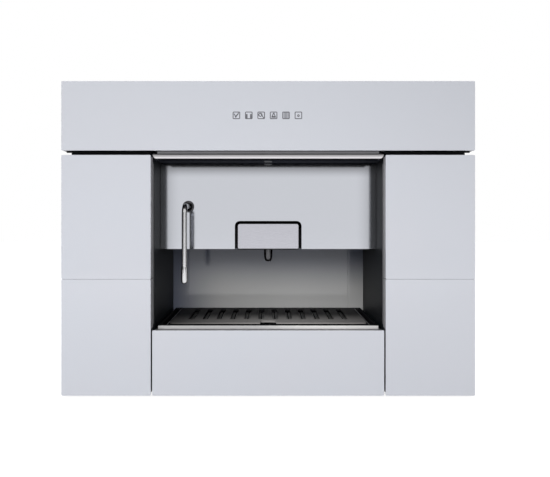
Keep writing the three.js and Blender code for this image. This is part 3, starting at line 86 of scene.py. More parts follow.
camera_data = bpy.data.cameras.new("studio_camera")
camera_data.sensor_width = SENSOR
camera_data.lens = SENSOR * EYE_DISTANCE / (IMAGE_WIDTH * PIXEL)
camera_data.shift_x = SHIFT_RIGHT / IMAGE_WIDTH
camera_data.shift_y = -SHIFT_DOWN / IMAGE_WIDTH
camera = bpy.data.objects.new("studio_camera", camera_data)
camera.location = (0, FRONT_Y - EYE_DISTANCE, EYE_HEIGHT)
camera.rotation_euler = (math.radians(90), 0, 0)
bpy.context.scene.collection.objects.link(camera)
bpy.context.scene.camera = camera
print("lens", round(camera_data.lens, 1), "mm")

# %% [markdown]
# ## Light and background
# A white studio with a pale floor and four soft lamps: a wide key in front, up and to the left, a
# weak fill from the right, one overhead for the top and one behind for the rear panel. They stay
# out of the reflections, so no bright rectangle shows in the glass. The white of the background
# comes from the world's colour, as the camera, the reflections and the clear plastic see it, and
# not from more light on the machine.

# %% Rays that see the background
scene = bpy.context.scene
scene.view_settings.view_transform = "Standard"


def seen_rays(tree):
    # 1 for a ray from the camera, off something glossy or through something clear, otherwise 0
    rays = tree.nodes.new("ShaderNodeLightPath")
    seen = rays.outputs["Is Camera Ray"]
    for kind in ("Is Glossy Ray", "Is Transmission Ray"):
        either = tree.nodes.new("ShaderNodeMath")
        either.operation = "MAXIMUM"
        tree.links.new(seen, either.inputs[0])
        tree.links.new(rays.outputs[kind], either.inputs[1])
        seen = either.outputs[0]
    return seen


print("view transform:", scene.view_settings.view_transform)

# %% World
AMBIENT_COLOR, AMBIENT_LIGHT = (0.93, 0.95, 1.0), 0.2
world = bpy.data.worlds.new("studio")
scene.world = world
world.use_nodes = True
tree = world.node_tree
tree.nodes.clear()
out = tree.nodes.new("ShaderNodeOutputWorld")
mix = tree.nodes.new("ShaderNodeMixShader")
ambient = tree.nodes.new("ShaderNodeBackground")
ambient.inputs["Color"].default_value = (*AMBIENT_COLOR, 1)
ambient.inputs["Strength"].default_value = AMBIENT_LIGHT
white = tree.nodes.new("ShaderNodeBackground")
white.inputs["Color"].default_value = (1, 1, 1, 1)
tree.links.new(seen_rays(tree), mix.inputs[0])
tree.links.new(ambient.outputs[0], mix.inputs[1])
tree.links.new(white.outputs[0], mix.inputs[2])
tree.links.new(mix.outputs[0], out.inputs[0])
print("light from all round:", AMBIENT_LIGHT)

# %% Lamps
def soft_lamp(name, place, aim, size, watts):
    data = bpy.data.lights.new(name, "AREA")
    data.shape = "RECTANGLE"
    data.size, data.size_y = size
    data.energy = watts
    lamp = bpy.data.objects.new(name, data)
    lamp.location = place
    lamp.visible_glossy = False
    lamp.rotation_euler = (Vector(aim) - Vector(place)).to_track_quat("-Z", "Y").to_euler()
    scene.collection.objects.link(lamp)


LAMPS = {                       # where it stands, where it points, its size and its watts
    "key": ((-0.55, -2.1, 1.05), (0, -0.1, 0.15), (2.2, 1.2), 36),
    "fill": ((0.45, -2.2, 0.35), (0, 0, 0.1), (1.4, 0.6), 5),
    "top": ((0, 0.3, 2.2), (0, 0, 0.4), (1.6, 1.2), 7),
    "back": ((0.2, 1.9, 1.2), (0, 0, 0.3), (1.8, 1.0), 14),
}
for name, setting in LAMPS.items():
    soft_lamp(name, *setting)
print("lamps:", ", ".join(LAMPS))

# %% [markdown]
# The floor is a large pale plane. It takes the soft shadow, and it is part of the stage, not of the
# machine. A light of its own, which only the same rays see, takes it up to the white of the
# background without lighting the machine any more than before.

# %% Floor
def paint(name, color, rough, metallic=0.0):
    material = bpy.data.materials.new(name)
    material.use_nodes = True
    shader = material.node_tree.nodes["Principled BSDF"]
    shader.inputs["Base Color"].default_value = (*color, 1)
    shader.inputs["Roughness"].default_value = rough
    shader.inputs["Metallic"].default_value = metallic
    return material, shader


FLOOR_HALF, FLOOR_GAP = 6, 0.0005       # the gap keeps the feet from flickering in the floor
FLOOR_GREY, FLOOR_GLOW = (0.45, 0.45, 0.45), 0.86
floor_paint, shader = paint("floor", FLOOR_GREY, 0.9)
shader.inputs["Emission Color"].default_value = (1, 1, 1, 1)
floor_tree = floor_paint.node_tree
floor_glow = floor_tree.nodes.new("ShaderNodeMath")
floor_glow.operation = "MULTIPLY"
floor_glow.inputs[1].default_value = FLOOR_GLOW
floor_tree.links.new(seen_rays(floor_tree), floor_glow.inputs[0])
floor_tree.links.new(floor_glow.outputs[0], shader.inputs["Emission Strength"])

floor_mesh = bpy.data.meshes.new("floor")
bm = bmesh.new()
bmesh.ops.create_grid(bm, x_segments=1, y_segments=1, size=FLOOR_HALF)
bm.to_mesh(floor_mesh)
bm.free()
floor = bpy.data.objects.new("floor", floor_mesh)
floor_mesh.materials.append(floor_paint)
floor.location.z = cad_box[0][2] - FLOOR_GAP
scene.collection.objects.link(floor)
print("floor glow:", FLOOR_GLOW)

# %% [markdown]
# Chrome shows its roundness only if it has something dark to reflect. A photographer sets up two
# black cards, one on each side and a little behind the camera, so that they stay out of the
# picture. These two are seen by reflections alone, so they take no light away and hide nothing.

# %% Two black cards
CARD_NEAR, CARD_FAR, CARD_DISTANCE, CARD_TOP = 1.0, 3.0, 2.0, 1.6
card_paint, shader = paint("card", (0.02, 0.02, 0.02), 0.9)
shader.inputs["Specular IOR Level"].default_value = 0.0
for side in (-1, 1):
    middle = (side * (CARD_NEAR + CARD_FAR) / 2, -CARD_DISTANCE, CARD_TOP / 2)
    standing = Matrix.Translation(middle) @ Matrix.Rotation(math.radians(90), 4, "X")
    mesh = bpy.data.meshes.new("card")
    bm = bmesh.new()
    bmesh.ops.create_grid(bm, x_segments=1, y_segments=1, size=0.5,
                          matrix=standing @ Matrix.Diagonal((CARD_FAR - CARD_NEAR, CARD_TOP, 1, 1)))
    bm.to_mesh(mesh)
    bm.free()
    mesh.materials.append(card_paint)
    card = bpy.data.objects.new("card", mesh)
    scene.collection.objects.link(card)
    card.visible_camera = card.visible_diffuse = card.visible_shadow = False
    card.visible_transmission = False
print("cards:", CARD_FAR - CARD_NEAR, "m wide")

# %% [markdown]
# ## Finishes
# Metals are told apart by how they are worked: a brushed sheet has fine lines in one direction, a
# galvanised one has soft cloudy spangles, a polished one has neither. The lines and the clouds are
# patterns that several materials use, so each is a node group with named inputs. A group could be
# put together by hand in the editor, but a small function keeps its sockets in one place.

# %% An empty group and its nodes
def pattern_group(name, inputs, outputs):
    group = bpy.data.node_groups.new(name, "ShaderNodeTree")
    for label, value in inputs:
        kind = "NodeSocketVector" if isinstance(value, tuple) else "NodeSocketFloat"
        socket = group.interface.new_socket(label, in_out="INPUT", socket_type=kind)
        socket.default_value = value
    for label in outputs:
        group.interface.new_socket(label, in_out="OUTPUT", socket_type="NodeSocketFloat")
    return group, group.nodes.new("NodeGroupInput"), group.nodes.new("NodeGroupOutput")


def add(group, kind, **values):
    node = group.nodes.new("ShaderNode" + kind)
    for key, value in values.items():
        setattr(node, key, value)
    return node


print("helpers for groups: pattern_group, add")

# %% [markdown]
# Brushing leaves fine parallel scratches. They are noise that is stretched out along the brushing
# and squeezed across it: Stretch says how many lines there are per metre along X, Y and Z. The
# lines change the roughness a little and raise the surface a little.

# %% Brushed lines
def build_brushed():
    group, given, result = pattern_group(
        "brushed_lines",
        [("Stretch", (60.0, 60.0, 9000.0)), ("Roughness", 0.3), ("Spread", 0.1)],
        ["Roughness", "Height"],
    )
    place = add(group, "TexCoord")
    scale = add(group, "VectorMath", operation="MULTIPLY")
    noise = add(group, "TexNoise")
    noise.inputs["Scale"].default_value = 1.0
    noise.inputs["Detail"].default_value = 3.0
    centre = add(group, "Math", operation="SUBTRACT")
    centre.inputs[1].default_value = 0.5
    spread = add(group, "Math", operation="MULTIPLY_ADD")
    links = group.links
    links.new(place.outputs["Object"], scale.inputs[0])
    links.new(given.outputs["Stretch"], scale.inputs[1])
    links.new(scale.outputs[0], noise.inputs["Vector"])
    links.new(noise.outputs["Fac"], centre.inputs[0])
    links.new(centre.outputs[0], spread.inputs[0])
    links.new(given.outputs["Spread"], spread.inputs[1])
    links.new(given.outputs["Roughness"], spread.inputs[2])
    links.new(spread.outputs[0], result.inputs["Roughness"])
    links.new(noise.outputs["Fac"], result.inputs["Height"])
    return group


brushed_lines = build_brushed()
print("group:", brushed_lines.name)

# %% [markdown]
# Clouds are the same noise left round. Coarse, they are the spangle of zinc; fine, they are the
# grain of moulded plastic. Value runs from Low to High for the roughness, and Mask is the noise
# itself.

# %% Clouds
def build_clouds():
    group, given, result = pattern_group(
        "clouds",
        [("Scale", 120.0), ("Low", 0.3), ("High", 0.5)],
        ["Value", "Mask"],
    )
    place = add(group, "TexCoord")
    noise = add(group, "TexNoise")
    noise.inputs["Detail"].default_value = 4.0
    ramp = add(group, "MapRange")
    ramp.inputs["From Min"].default_value = 0.3
    ramp.inputs["From Max"].default_value = 0.7
    links = group.links
    links.new(place.outputs["Object"], noise.inputs["Vector"])
    links.new(given.outputs["Scale"], noise.inputs["Scale"])
    links.new(noise.outputs["Fac"], ramp.inputs["Value"])
    links.new(given.outputs["Low"], ramp.inputs["To Min"])
    links.new(given.outputs["High"], ramp.inputs["To Max"])
    links.new(ramp.outputs["Result"], result.inputs["Value"])
    links.new(noise.outputs["Fac"], result.inputs["Mask"])
    return group


clouds = build_clouds()
print("group:", clouds.name)

# %% [markdown]
# The sheets of the niche grow darker towards the corners where they meet, as inside any box. The
# lamps alone do this too weakly, so the colour of a sheet fades with the place on it. Mask is 1 in
# the open field and 0 at the upper edge, the rear edge and both side edges, each given in metres
# together with the width of its fade. An edge far outside the piece leaves that side alone.

# %% Fade towards the edges
def build_fade():
    group, given, result = pattern_group(
        "edge_fade",
        [("Centre", 0.0), ("Half Width", 10.0), ("Side Fade", 0.01), ("Top", 10.0),
         ("Top Fade", 0.01), ("Rear", 10.0), ("Rear Fade", 0.01)],
        ["Mask"],
    )
    place = add(group, "TexCoord")
    axes = add(group, "SeparateXYZ")
    sideways = add(group, "Math", operation="SUBTRACT")
    outward = add(group, "Math", operation="ABSOLUTE")
    links = group.links
    links.new(place.outputs["Object"], axes.inputs[0])
    links.new(axes.outputs["X"], sideways.inputs[0])
    links.new(given.outputs["Centre"], sideways.inputs[1])
    links.new(sideways.outputs[0], outward.inputs[0])
    fades = []
    for distance, edge, width in ((outward.outputs[0], "Half Width", "Side Fade"),
                                  (axes.outputs["Z"], "Top", "Top Fade"),
                                  (axes.outputs["Y"], "Rear", "Rear Fade")):
        start = add(group, "Math", operation="SUBTRACT")
        fade = add(group, "MapRange", interpolation_type="SMOOTHSTEP")
        fade.inputs["To Min"].default_value = 1.0
        fade.inputs["To Max"].default_value = 0.0
        links.new(given.outputs[edge], start.inputs[0])
        links.new(given.outputs[width], start.inputs[1])
        links.new(distance, fade.inputs["Value"])
        links.new(start.outputs[0], fade.inputs["From Min"])
        links.new(given.outputs[edge], fade.inputs["From Max"])
        fades.append(fade)
    both = add(group, "Math", operation="MULTIPLY")
    all_three = add(group, "Math", operation="MULTIPLY")
    links.new(fades[0].outputs[0], both.inputs[0])
    links.new(fades[1].outputs[0], both.inputs[1])
    links.new(both.outputs[0], all_three.inputs[0])
    links.new(fades[2].outputs[0], all_three.inputs[1])
    links.new(all_three.outputs[0], result.inputs["Mask"])
    return group


edge_fade = build_fade()
print("group:", edge_fade.name)

# %% [markdown]
# A group is placed in a material as one node, and each material gives it values of its own. A
# pattern can raise the surface through a bump node or blend two colours through a mix node.

# %% Placing a group, a relief and a blend
def use(material, group, **values):
    node = material.node_tree.nodes.new("ShaderNodeGroup")
    node.node_tree = group
    for label, value in values.items():
        node.inputs[label.replace("_", " ")].default_value = value
    return node


def bump(material, shader, height, strength, distance):
    node = material.node_tree.nodes.new("ShaderNodeBump")
    node.inputs["Strength"].default_value = strength
    node.inputs["Distance"].default_value = distance
    material.node_tree.links.new(height, node.inputs["Height"])
    material.node_tree.links.new(node.outputs["Normal"], shader.inputs["Normal"])


def blend_of(material, mask, low_color, high_color):
    mix = material.node_tree.nodes.new("ShaderNodeMix")
    mix.data_type = "RGBA"
    mix.inputs[6].default_value = (*low_color, 1)
    mix.inputs[7].default_value = (*high_color, 1)
    material.node_tree.links.new(mask, mix.inputs[0])
    return mix


print("helpers for materials: use, bump, blend_of")

# %% [markdown]
# These three make the finishes. brushed and mottled start a material from one of the two patterns,
# and faded lets its colour change to another one towards the edges.

# %% Brushed, mottled and faded
LINE_DEPTH, GRAIN_DEPTH = 0.00002, 0.0001


def faded(material, edge_color, **place):
    mask = use(material, edge_fade, **place)
    own_color = material.node_tree.nodes["Principled BSDF"].inputs["Base Color"]
    mix = blend_of(material, mask.outputs["Mask"], edge_color, own_color.default_value[:3])
    material.node_tree.links.new(mix.outputs[2], own_color)
    return mix


def brushed(name, color, rough, stretch, spread=0.12, strength=0.12, metallic=1.0):
    material, shader = paint(name, color, rough, metallic)
    lines = use(material, brushed_lines, Stretch=stretch, Roughness=rough, Spread=spread)
    material.node_tree.links.new(lines.outputs["Roughness"], shader.inputs["Roughness"])
    bump(material, shader, lines.outputs["Height"], strength, LINE_DEPTH)
    return material


def mottled(name, color, low, high, scale, metallic=0.0, grain=0.0, gloss=0.5):
    material, shader = paint(name, color, low, metallic)
    shader.inputs["Specular IOR Level"].default_value = gloss
    cloud = use(material, clouds, Scale=scale, Low=low, High=high)
    material.node_tree.links.new(cloud.outputs["Value"], shader.inputs["Roughness"])
    if grain:
        bump(material, shader, cloud.outputs["Mask"], grain, GRAIN_DEPTH)
    return material


print("helpers for finishes: brushed, mottled, faded")

# %% [markdown]
# The front is clear glass painted silver on its back. What is seen is an even pale grey with a
# clear coat over it, a shade darker near the top and with the faintest change of tint from place to
# place. The panel over the outlet is polished like a mirror. Its colour fades at both sides and at
# the top, where the real one mirrors the dark walls and the ceiling.

# %% Painted glass and polished panel
front_glass = mottled("back_painted_glass", (0.655, 0.672, 0.728), 0.33, 0.38, 40)
glass_fade = faded(front_glass, (0.53, 0.545, 0.59), Top=0.56, Top_Fade=0.40)
glass_cloud = use(front_glass, clouds, Scale=9.0)
glass_tint = blend_of(front_glass, glass_cloud.outputs["Mask"],
                      (0.648, 0.676, 0.736), (0.662, 0.668, 0.720))
front_glass.node_tree.links.new(glass_tint.outputs[2], glass_fade.inputs[7])
shader = front_glass.node_tree.nodes["Principled BSDF"]
shader.inputs["Coat Weight"].default_value = 0.8
shader.inputs["Coat Roughness"].default_value = 0.03

polished_panel = mottled("polished_panel", (0.575, 0.59, 0.635), 0.08, 0.10, 8, 1.0)
faded(polished_panel, (0.20, 0.205, 0.22), Half_Width=0.190, Side_Fade=0.056,
      Top=0.343, Top_Fade=0.024)
print("made:", front_glass.name, "and", polished_panel.name)

# %% [markdown]
# Black isn't one finish. Coated steel is smooth and a little glossy, moulded plastic has a fine
# grain, and what lies deep inside is dull, so that it stays dark under any light. After the colour
# come the lowest and the highest roughness and the fineness of the clouds, and then metallic, grain
# and gloss where they aren't zero, zero and ordinary.

# %% Blacks, greys and zinc
moulded_black = mottled("moulded_black", (0.010, 0.010, 0.012), 0.5, 0.66, 900, 0.0, 0.25, 0.12)
satin_grey = mottled("satin_grey", (0.165, 0.165, 0.175), 0.36, 0.48, 500, 0.25, 0.1)
coated_steel = mottled("coated_steel", (0.011, 0.0125, 0.0155), 0.40, 0.52, 500, 0.0, 0.12, 0.08)
dull_black = mottled("dull_black", (0.016, 0.016, 0.018), 0.7, 0.85, 900, 0.0, 0.2, 0.0)
zinc_sheet = mottled("zinc_sheet", (0.46, 0.48, 0.49), 0.32, 0.55, 60, 1.0)
ceiling_black = mottled("ceiling_black", (0.06, 0.064, 0.078), 0.7, 0.85, 900, 0.0, 0.2, 0.0)
print("made: four blacks, a grey and zinc")

# %% [markdown]
# Brushed steel is as bright as what it mirrors, and deep in the niche that is mostly dark walls.
# The back wall, the grille and the channels under it lie deep inside, so they get a plain colour
# instead of a full metal, with painted shade that darkens it towards the top, the rear and the
# sides, and the back wall has a thin gloss over it that shows the wand. The lip, the tray's front
# trim and the outlet's cover are near the opening and stay bright, but the lip gets painted shade
# along its top and the trim towards its ends.

# %% Brushed steels
ACROSS = (60.0, 9000.0, 9000.0)
FRONT_TO_BACK = (9000.0, 60.0, 9000.0)

wall_steel = brushed("wall_steel", (0.50, 0.50, 0.495), 0.5, ACROSS, 0.12, 0.1, 0.0)
# Painted shade: the back wall turns dark and bluish towards its top and towards its left side.
faded(wall_steel, (0.13, 0.148, 0.215), Centre=0.06, Half_Width=0.25, Side_Fade=0.117,
      Top=0.2097, Top_Fade=0.085)
shader = wall_steel.node_tree.nodes["Principled BSDF"]
shader.inputs["Specular IOR Level"].default_value = 0.2
shader.inputs["Coat Weight"].default_value = 1.0
shader.inputs["Coat IOR"].default_value = 1.52
shader.inputs["Coat Roughness"].default_value = 0.075

tray_steel = brushed("tray_steel", (0.99, 0.975, 0.96), 0.34, ACROSS, 0.1, 0.08, 0.25)
# Painted shade: the trim grows darker away from a point right of its middle, most at its left end.
faded(tray_steel, (0.68, 0.67, 0.67), Centre=0.08, Half_Width=0.115, Side_Fade=0.1)

grille_steel = brushed("grille_steel", (0.38, 0.365, 0.355), 0.5, FRONT_TO_BACK, 0.12, 0.1, 0.0)
# Painted shade: the grille goes black towards its rear, under the upper housing, and darker towards
# both sides, most on the left.
faded(grille_steel, (0.012, 0.012, 0.013), Centre=0.035, Half_Width=0.25, Side_Fade=0.25,
      Rear=-0.052, Rear_Fade=0.088)
shader = grille_steel.node_tree.nodes["Principled BSDF"]
shader.inputs["Specular IOR Level"].default_value = 0.02

channel_steel = brushed("channel_steel", (0.33, 0.32, 0.31), 0.5, FRONT_TO_BACK, 0.12, 0.1, 0.0)
# Painted shade, as on the grille: black towards the rear and darker towards the sides.
faded(channel_steel, (0.03, 0.03, 0.03), Centre=0.035, Half_Width=0.26, Side_Fade=0.25,
      Rear=-0.04, Rear_Fade=0.1)

cover_steel = brushed("cover_steel", (0.49, 0.49, 0.535), 0.28, ACROSS)
lip_metal = brushed("lip_metal", (0.74, 0.72, 0.74), 0.3, ACROSS, 0.08, 0.05)
# Painted shade: a dark band along the top of the lip, where it goes under the fascia.
faded(lip_metal, (0.20, 0.195, 0.20), Top=0.3520, Top_Fade=0.0085)
bright_metal = brushed("bright_metal", (0.62, 0.60, 0.62), 0.4, ACROSS, 0.08, 0.05)
print("made: seven brushed steels")

# %% [markdown]
# Chrome is a smooth metal, and how dark it looks depends on what it mirrors. The coffee nozzle, the
# escutcheon and the ball of the wand mirror the dark niche, so they get a darker copy of the
# chrome: a painted reflection of the niche. The tank and the hopper are clear plastic with a grey
# tint. The rest is ordinary plastic, board, casting and rubber.

# %% Chrome, plastics and rubber
polished_chrome = mottled("polished_chrome", (0.62, 0.62, 0.63), 0.2, 0.26, 40, 1.0)
# A darker copy of the chrome: painted reflection of the dark niche.
shaded_chrome = mottled("shaded_chrome", (0.085, 0.085, 0.09), 0.14, 0.22, 40, 1.0)
smoked_plastic, shader = paint("smoked_plastic", (0.42, 0.46, 0.50), 0.08)
shader.inputs["Transmission Weight"].default_value = 0.85
shader.inputs["IOR"].default_value = 1.45
grey_plastic = mottled("grey_plastic", (0.085, 0.09, 0.10), 0.45, 0.6, 700, 0.0, 0.2)
board_green = mottled("board_green", (0.02, 0.11, 0.045), 0.3, 0.45, 300)
cast_alloy = mottled("cast_alloy", (0.42, 0.43, 0.44), 0.45, 0.65, 900, 1.0, 0.5)
rubber_and_shade_black = mottled("rubber_and_shade_black", (0.015, 0.015, 0.015), 0.7, 0.9, 600, 0.0, 0.2)
frosted_lens, shader = paint("frosted_lens", (0.035, 0.037, 0.042), 0.4)
shader.inputs["Specular IOR Level"].default_value = 0.1
print("made: chrome, plastics, board, casting, rubber and lens")

# %% [markdown]
# Every piece of the machine now gets its finish. A material slot of a solid can be filled without
# touching its mesh, so the solids stay exactly as they came.

# %% Finishes on the pieces
finishes = {
    front_glass: ["fascia_glass", "left_door_glass", "right_door_glass", "grounds_drawer_glass",
                  "tank_drawer_glass", "drip_drawer_glass"],
    polished_panel: ["upper_glass_panel"],
    satin_grey: ["left_door_liner", "right_door_liner", "grounds_drawer_carrier",
                 "tank_drawer_carrier", "drip_drawer_carrier"],
    dull_black: ["fascia_housing", "drip_tray", "coffee_feed_tube", "outlet_guide"],
    ceiling_black: ["niche_ceiling"],
    moulded_black: ["housing_underside", "outlet_body", "wand_swivel", "tank_lid", "service_box",
                    "hopper_lid", "grinder_body", "power_inlet"],
    coated_steel: ["front_frame", "left_niche_wall", "right_niche_wall"],
    zinc_sheet: ["base_plate", "left_side_panel", "right_side_panel", "top_cover", "rear_panel",
                 "upper_deck", "grinder_shelf"],
    wall_steel: ["back_wall"],
    tray_steel: ["tray_front_trim"],
    grille_steel: ["drip_grille"],
    cover_steel: ["outlet_cover"],
    lip_metal: ["niche_lip"],
    bright_metal: ["steam_pipe"],
    polished_chrome: ["wand_pipe", "wand_nozzle"],
    shaded_chrome: ["outlet_nozzle", "wand_escutcheon"],
    smoked_plastic: ["water_tank", "bean_hopper"],
    grey_plastic: ["grounds_bin", "main_switch", "brew_unit", "pump"],
    board_green: ["touch_board", "power_board"],
    cast_alloy: ["thermoblock", "grinder_burr"],
    rubber_and_shade_black: ["foot_front_left", "foot_front_right", "foot_rear_left", "foot_rear_right"],
    frosted_lens: ["niche_lamp_lens"],
}
for material, names in finishes.items():
    for name in names:
        for material_slot in nodes[name].material_slots:
            material_slot.material = material
print("finishes:", len(finishes), "on", sum(len(names) for names in finishes.values()), "nodes")

# %% [markdown]
# ## Soft edges
# A folded sheet, a moulding and a pane of glass all have slightly rounded edges, and the thin line
# of light on them is what makes them look real. The solids have sharp ones. So each solid gets a
# copy that stands for it: its loose triangles are merged, flat areas become single faces again, and
# the edges are bevelled by the amount such a piece would have.

# %% Where each piece belongs
finish_of = {name: material for material, names in finishes.items() for name in names}
bodies = frame["record"]["behaviour"]["bodies"]
body_of = {name: body for body, names in bodies.items() for name in names}
print("bodies:", ", ".join(bodies))

# %% A copy with soft edges
MM = 0.001
MERGE_DISTANCE = 0.01 * MM
FLAT_ANGLE, CORNER_ANGLE = math.radians(0.5), math.radians(40)


def as_piece(bm, name, body, material, stands_for=()):
    mesh = bpy.data.meshes.new(name)
    bm.to_mesh(mesh)
    bm.free()
    mesh.materials.append(material)
    piece = bpy.data.objects.new(name, mesh)
    scene.collection.objects.link(piece)
    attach(piece, body)
    if stands_for:
        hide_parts(*stands_for)
    return piece


def smooth_over(bm, angle=40):
    for face in bm.faces:
        face.smooth = True
    for edge in bm.edges:
        edge.smooth = edge.is_manifold and edge.calc_face_angle() < math.radians(angle)


def softened(name, width):
    bm = bmesh.new()
    bm.from_mesh(nodes[name].data)
    bmesh.ops.remove_doubles(bm, verts=bm.verts, dist=MERGE_DISTANCE)
    bmesh.ops.dissolve_limit(bm, angle_limit=FLAT_ANGLE, verts=bm.verts, edges=bm.edges)
    corners = [edge for edge in bm.edges
               if edge.is_manifold and edge.calc_face_angle() > CORNER_ANGLE]
    bmesh.ops.bevel(bm, geom=corners, offset=width, offset_type="OFFSET", affect="EDGES",
                    segments=2, profile=0.5, material=-1, clamp_overlap=True)
    smooth_over(bm)
    for face in bm.faces:
        face.material_index = 0
    piece = as_piece(bm, name + "_soft", body_of[name], finish_of[name], (name,))
    even = piece.modifiers.new("even_shading", "WEIGHTED_NORMAL")
    even.keep_sharp = True
    return piece


print("corners sharper than", round(math.degrees(CORNER_ANGLE)), "degrees get a bevel")

# %% [markdown]
# Glass is ground to a small round arris, moulded plastic has a radius of about half a millimetre,
# and sheet steel only a fifth, because it is so thin.

# %% Soft edges on the solids
edge_width = {
    0.5 * MM: ["fascia_glass", "left_door_glass", "right_door_glass", "grounds_drawer_glass",
               "tank_drawer_glass", "drip_drawer_glass", "outlet_cover", "main_switch"],
    0.4 * MM: ["left_door_liner", "right_door_liner", "grounds_drawer_carrier", "power_inlet",
               "tank_drawer_carrier", "drip_drawer_carrier", "drip_tray", "tank_lid", "hopper_lid",
               "grounds_bin", "water_tank", "bean_hopper", "service_box", "outlet_body",
               "outlet_guide", "fascia_housing", "upper_glass_panel", "brew_unit", "pump",
               "thermoblock", "niche_lip"],
    0.3 * MM: ["drip_grille", "tray_front_trim", "back_wall", "front_frame", "wand_escutcheon",
               "wand_swivel", "grinder_body", "niche_ceiling", "housing_underside",
               "niche_lamp_lens", "left_niche_wall", "right_niche_wall"],
    0.2 * MM: ["top_cover", "left_side_panel", "right_side_panel", "rear_panel", "base_plate",
               "upper_deck", "grinder_shelf", "touch_board", "power_board"],
}
soft = {}
for width, names in edge_width.items():
    for name in names:
        soft[name] = softened(name, width)
face_count = sum(len(piece.data.polygons) for piece in soft.values())
print("soft edges:", len(soft), "pieces,", face_count, "faces")

# %% [markdown]
# ## The steam wand
# The real one is a bent steel tube: straight out of its ball, a quarter turn, and straight down
# into a nozzle sleeve. The same steps make it here. A circle of edges is pulled out, spun round the
# centre of the bend, and pulled down, so that the tube is perfectly round all the way.

# %% Wand tube and ball
PANEL_BEHIND_FRONT, FRONT_FACE = 83.4, -200     # in millimetres
WAND_BALL = Vector((-124.3, FRONT_FACE + PANEL_BEHIND_FRONT, 275.7)) * MM
WAND_REACH, WAND_DROP, WAND_BEND = 51.5 * MM, 114.7 * MM, 14 * MM
TUBE_RADIUS, BALL_RADIUS = 4.0 * MM, 5.5 * MM
SLEEVE_LENGTH = 25 * MM
INSIDE_BALL, INSIDE_SLEEVE = 2 * MM, 3 * MM     # how far the tube goes into its neighbours
SAME_POINT = 0.001 * MM
FORWARD, UP = Vector((0, -1, 0)), Vector((0, 0, 1))


def edges_of(geometry):
    return [item for item in geometry if isinstance(item, bmesh.types.BMEdge)]


def pulled(bm, edges, step):
    made = bmesh.ops.extrude_edge_only(bm, edges=edges)["geom"]
    ends = [item for item in made if isinstance(item, bmesh.types.BMVert)]
    bmesh.ops.translate(bm, verts=ends, vec=step)
    return edges_of(made)


bm = bmesh.new()
start = Matrix.Translation(WAND_BALL + FORWARD * INSIDE_BALL)
bmesh.ops.create_circle(bm, cap_ends=False, segments=40, radius=TUBE_RADIUS,
                        matrix=start @ Matrix.Rotation(math.radians(90), 4, "X"))
rim = pulled(bm, list(bm.edges), FORWARD * (WAND_REACH - WAND_BEND - INSIDE_BALL))
centre = WAND_BALL + FORWARD * (WAND_REACH - WAND_BEND) - UP * WAND_BEND
rim_verts = list(dict.fromkeys(vert for edge in rim for vert in edge.verts))
bend = bmesh.ops.spin(bm, geom=rim_verts + rim, cent=centre, axis=(1, 0, 0),
                      angle=math.radians(90), steps=16, use_merge=False)
pulled(bm, edges_of(bend["geom_last"]),
       -UP * (WAND_DROP - WAND_BEND - SLEEVE_LENGTH + INSIDE_SLEEVE))
bmesh.ops.remove_doubles(bm, verts=bm.verts, dist=SAME_POINT)
ball = bmesh.ops.create_uvsphere(bm, u_segments=32, v_segments=20, radius=BALL_RADIUS,
                                 matrix=Matrix.Translation(WAND_BALL))
for face in {face for vert in ball["verts"] for face in vert.link_faces}:
    face.material_index = 1
bmesh.ops.recalc_face_normals(bm, faces=bm.faces)
smooth_over(bm, 60)
lowest = min(vert.co.z for vert in bm.verts)
print("wand tube:", len(bm.faces), "faces, lowest", round(lowest / MM, 1), "mm")
wand_tube = as_piece(bm, "wand_tube", "wand", polished_chrome, ("wand_pipe",))
wand_tube.data.materials.append(shaded_chrome)

# %% [markdown]
# The sleeve and the coffee nozzle are turned on a lathe. A lathe in Blender is a spin: half of the
# outline, given as radius and height in millimetres, is a chain of edges that is swept once round
# the axis.

# %% A lathe
def turned(outline, centre, steps=48):
    bm = bmesh.new()
    chain = [bm.verts.new(Vector(centre) + Vector((radius, 0, height)) * MM)
             for radius, height in outline]
    links = [bm.edges.new(pair) for pair in zip(chain, chain[1:])]
    bmesh.ops.spin(bm, geom=chain + links, cent=centre, axis=(0, 0, 1), angle=math.tau,
                   steps=steps, use_merge=True)
    bmesh.ops.remove_doubles(bm, verts=bm.verts, dist=SAME_POINT)
    bmesh.ops.recalc_face_normals(bm, faces=bm.faces)
    smooth_over(bm, 35)
    return bm


print("lathe ready")

# %% Sleeve and coffee spout
SLEEVE_OUTLINE = [(0, 2.4), (0.9, 2.4), (0.9, 0.2), (1.1, 0), (2.9, 0), (3.7, 0.4), (4.3, 1.2),
                  (4.7, 2.3), (4.9, 3.6), (4.9, 20.5), (4.85, 22), (4.7, 23.2), (4.45, 24.2),
                  (4.3, 24.8), (4.15, 25), (4.1, 22), (0, 22)]
SPOUT_OUTLINE = [(0, -17), (1.6, -17), (1.6, -20.9), (1.9, -21.2), (3.6, -21.2), (4.3, -20.8),
                 (5.1, -19.6), (5.8, -18), (6.3, -16), (6.6, -14), (6.8, -11.5), (6.8, -0.2),
                 (6.6, 0), (3.4, 0), (3.4, -16.4), (0, -16.4)]
bm = turned(SLEEVE_OUTLINE, WAND_BALL + FORWARD * WAND_REACH - UP * WAND_DROP)
wand_sleeve = as_piece(bm, "wand_sleeve", "wand", polished_chrome, ("wand_nozzle",))

low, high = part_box("outlet_nozzle")
spout_centre = Vector(((low[0] + high[0]) / 2, (low[1] + high[1]) / 2, high[2]))
bm = turned(SPOUT_OUTLINE, spout_centre)
spout = as_piece(bm, "outlet_spout", "outlet", shaded_chrome, ("outlet_nozzle",))
print("turned:", len(wand_sleeve.data.polygons), "and", len(spout.data.polygons), "faces")

# %% [markdown]
# ## Drain channels under the grille
# On the real grille the slots read as shallow channels, not as black holes: just under the plate
# each has a folded bottom, and the drips run off through a narrow slit in its middle. Each channel
# bottom is two strips with the slit between them, given a thickness with solidify.

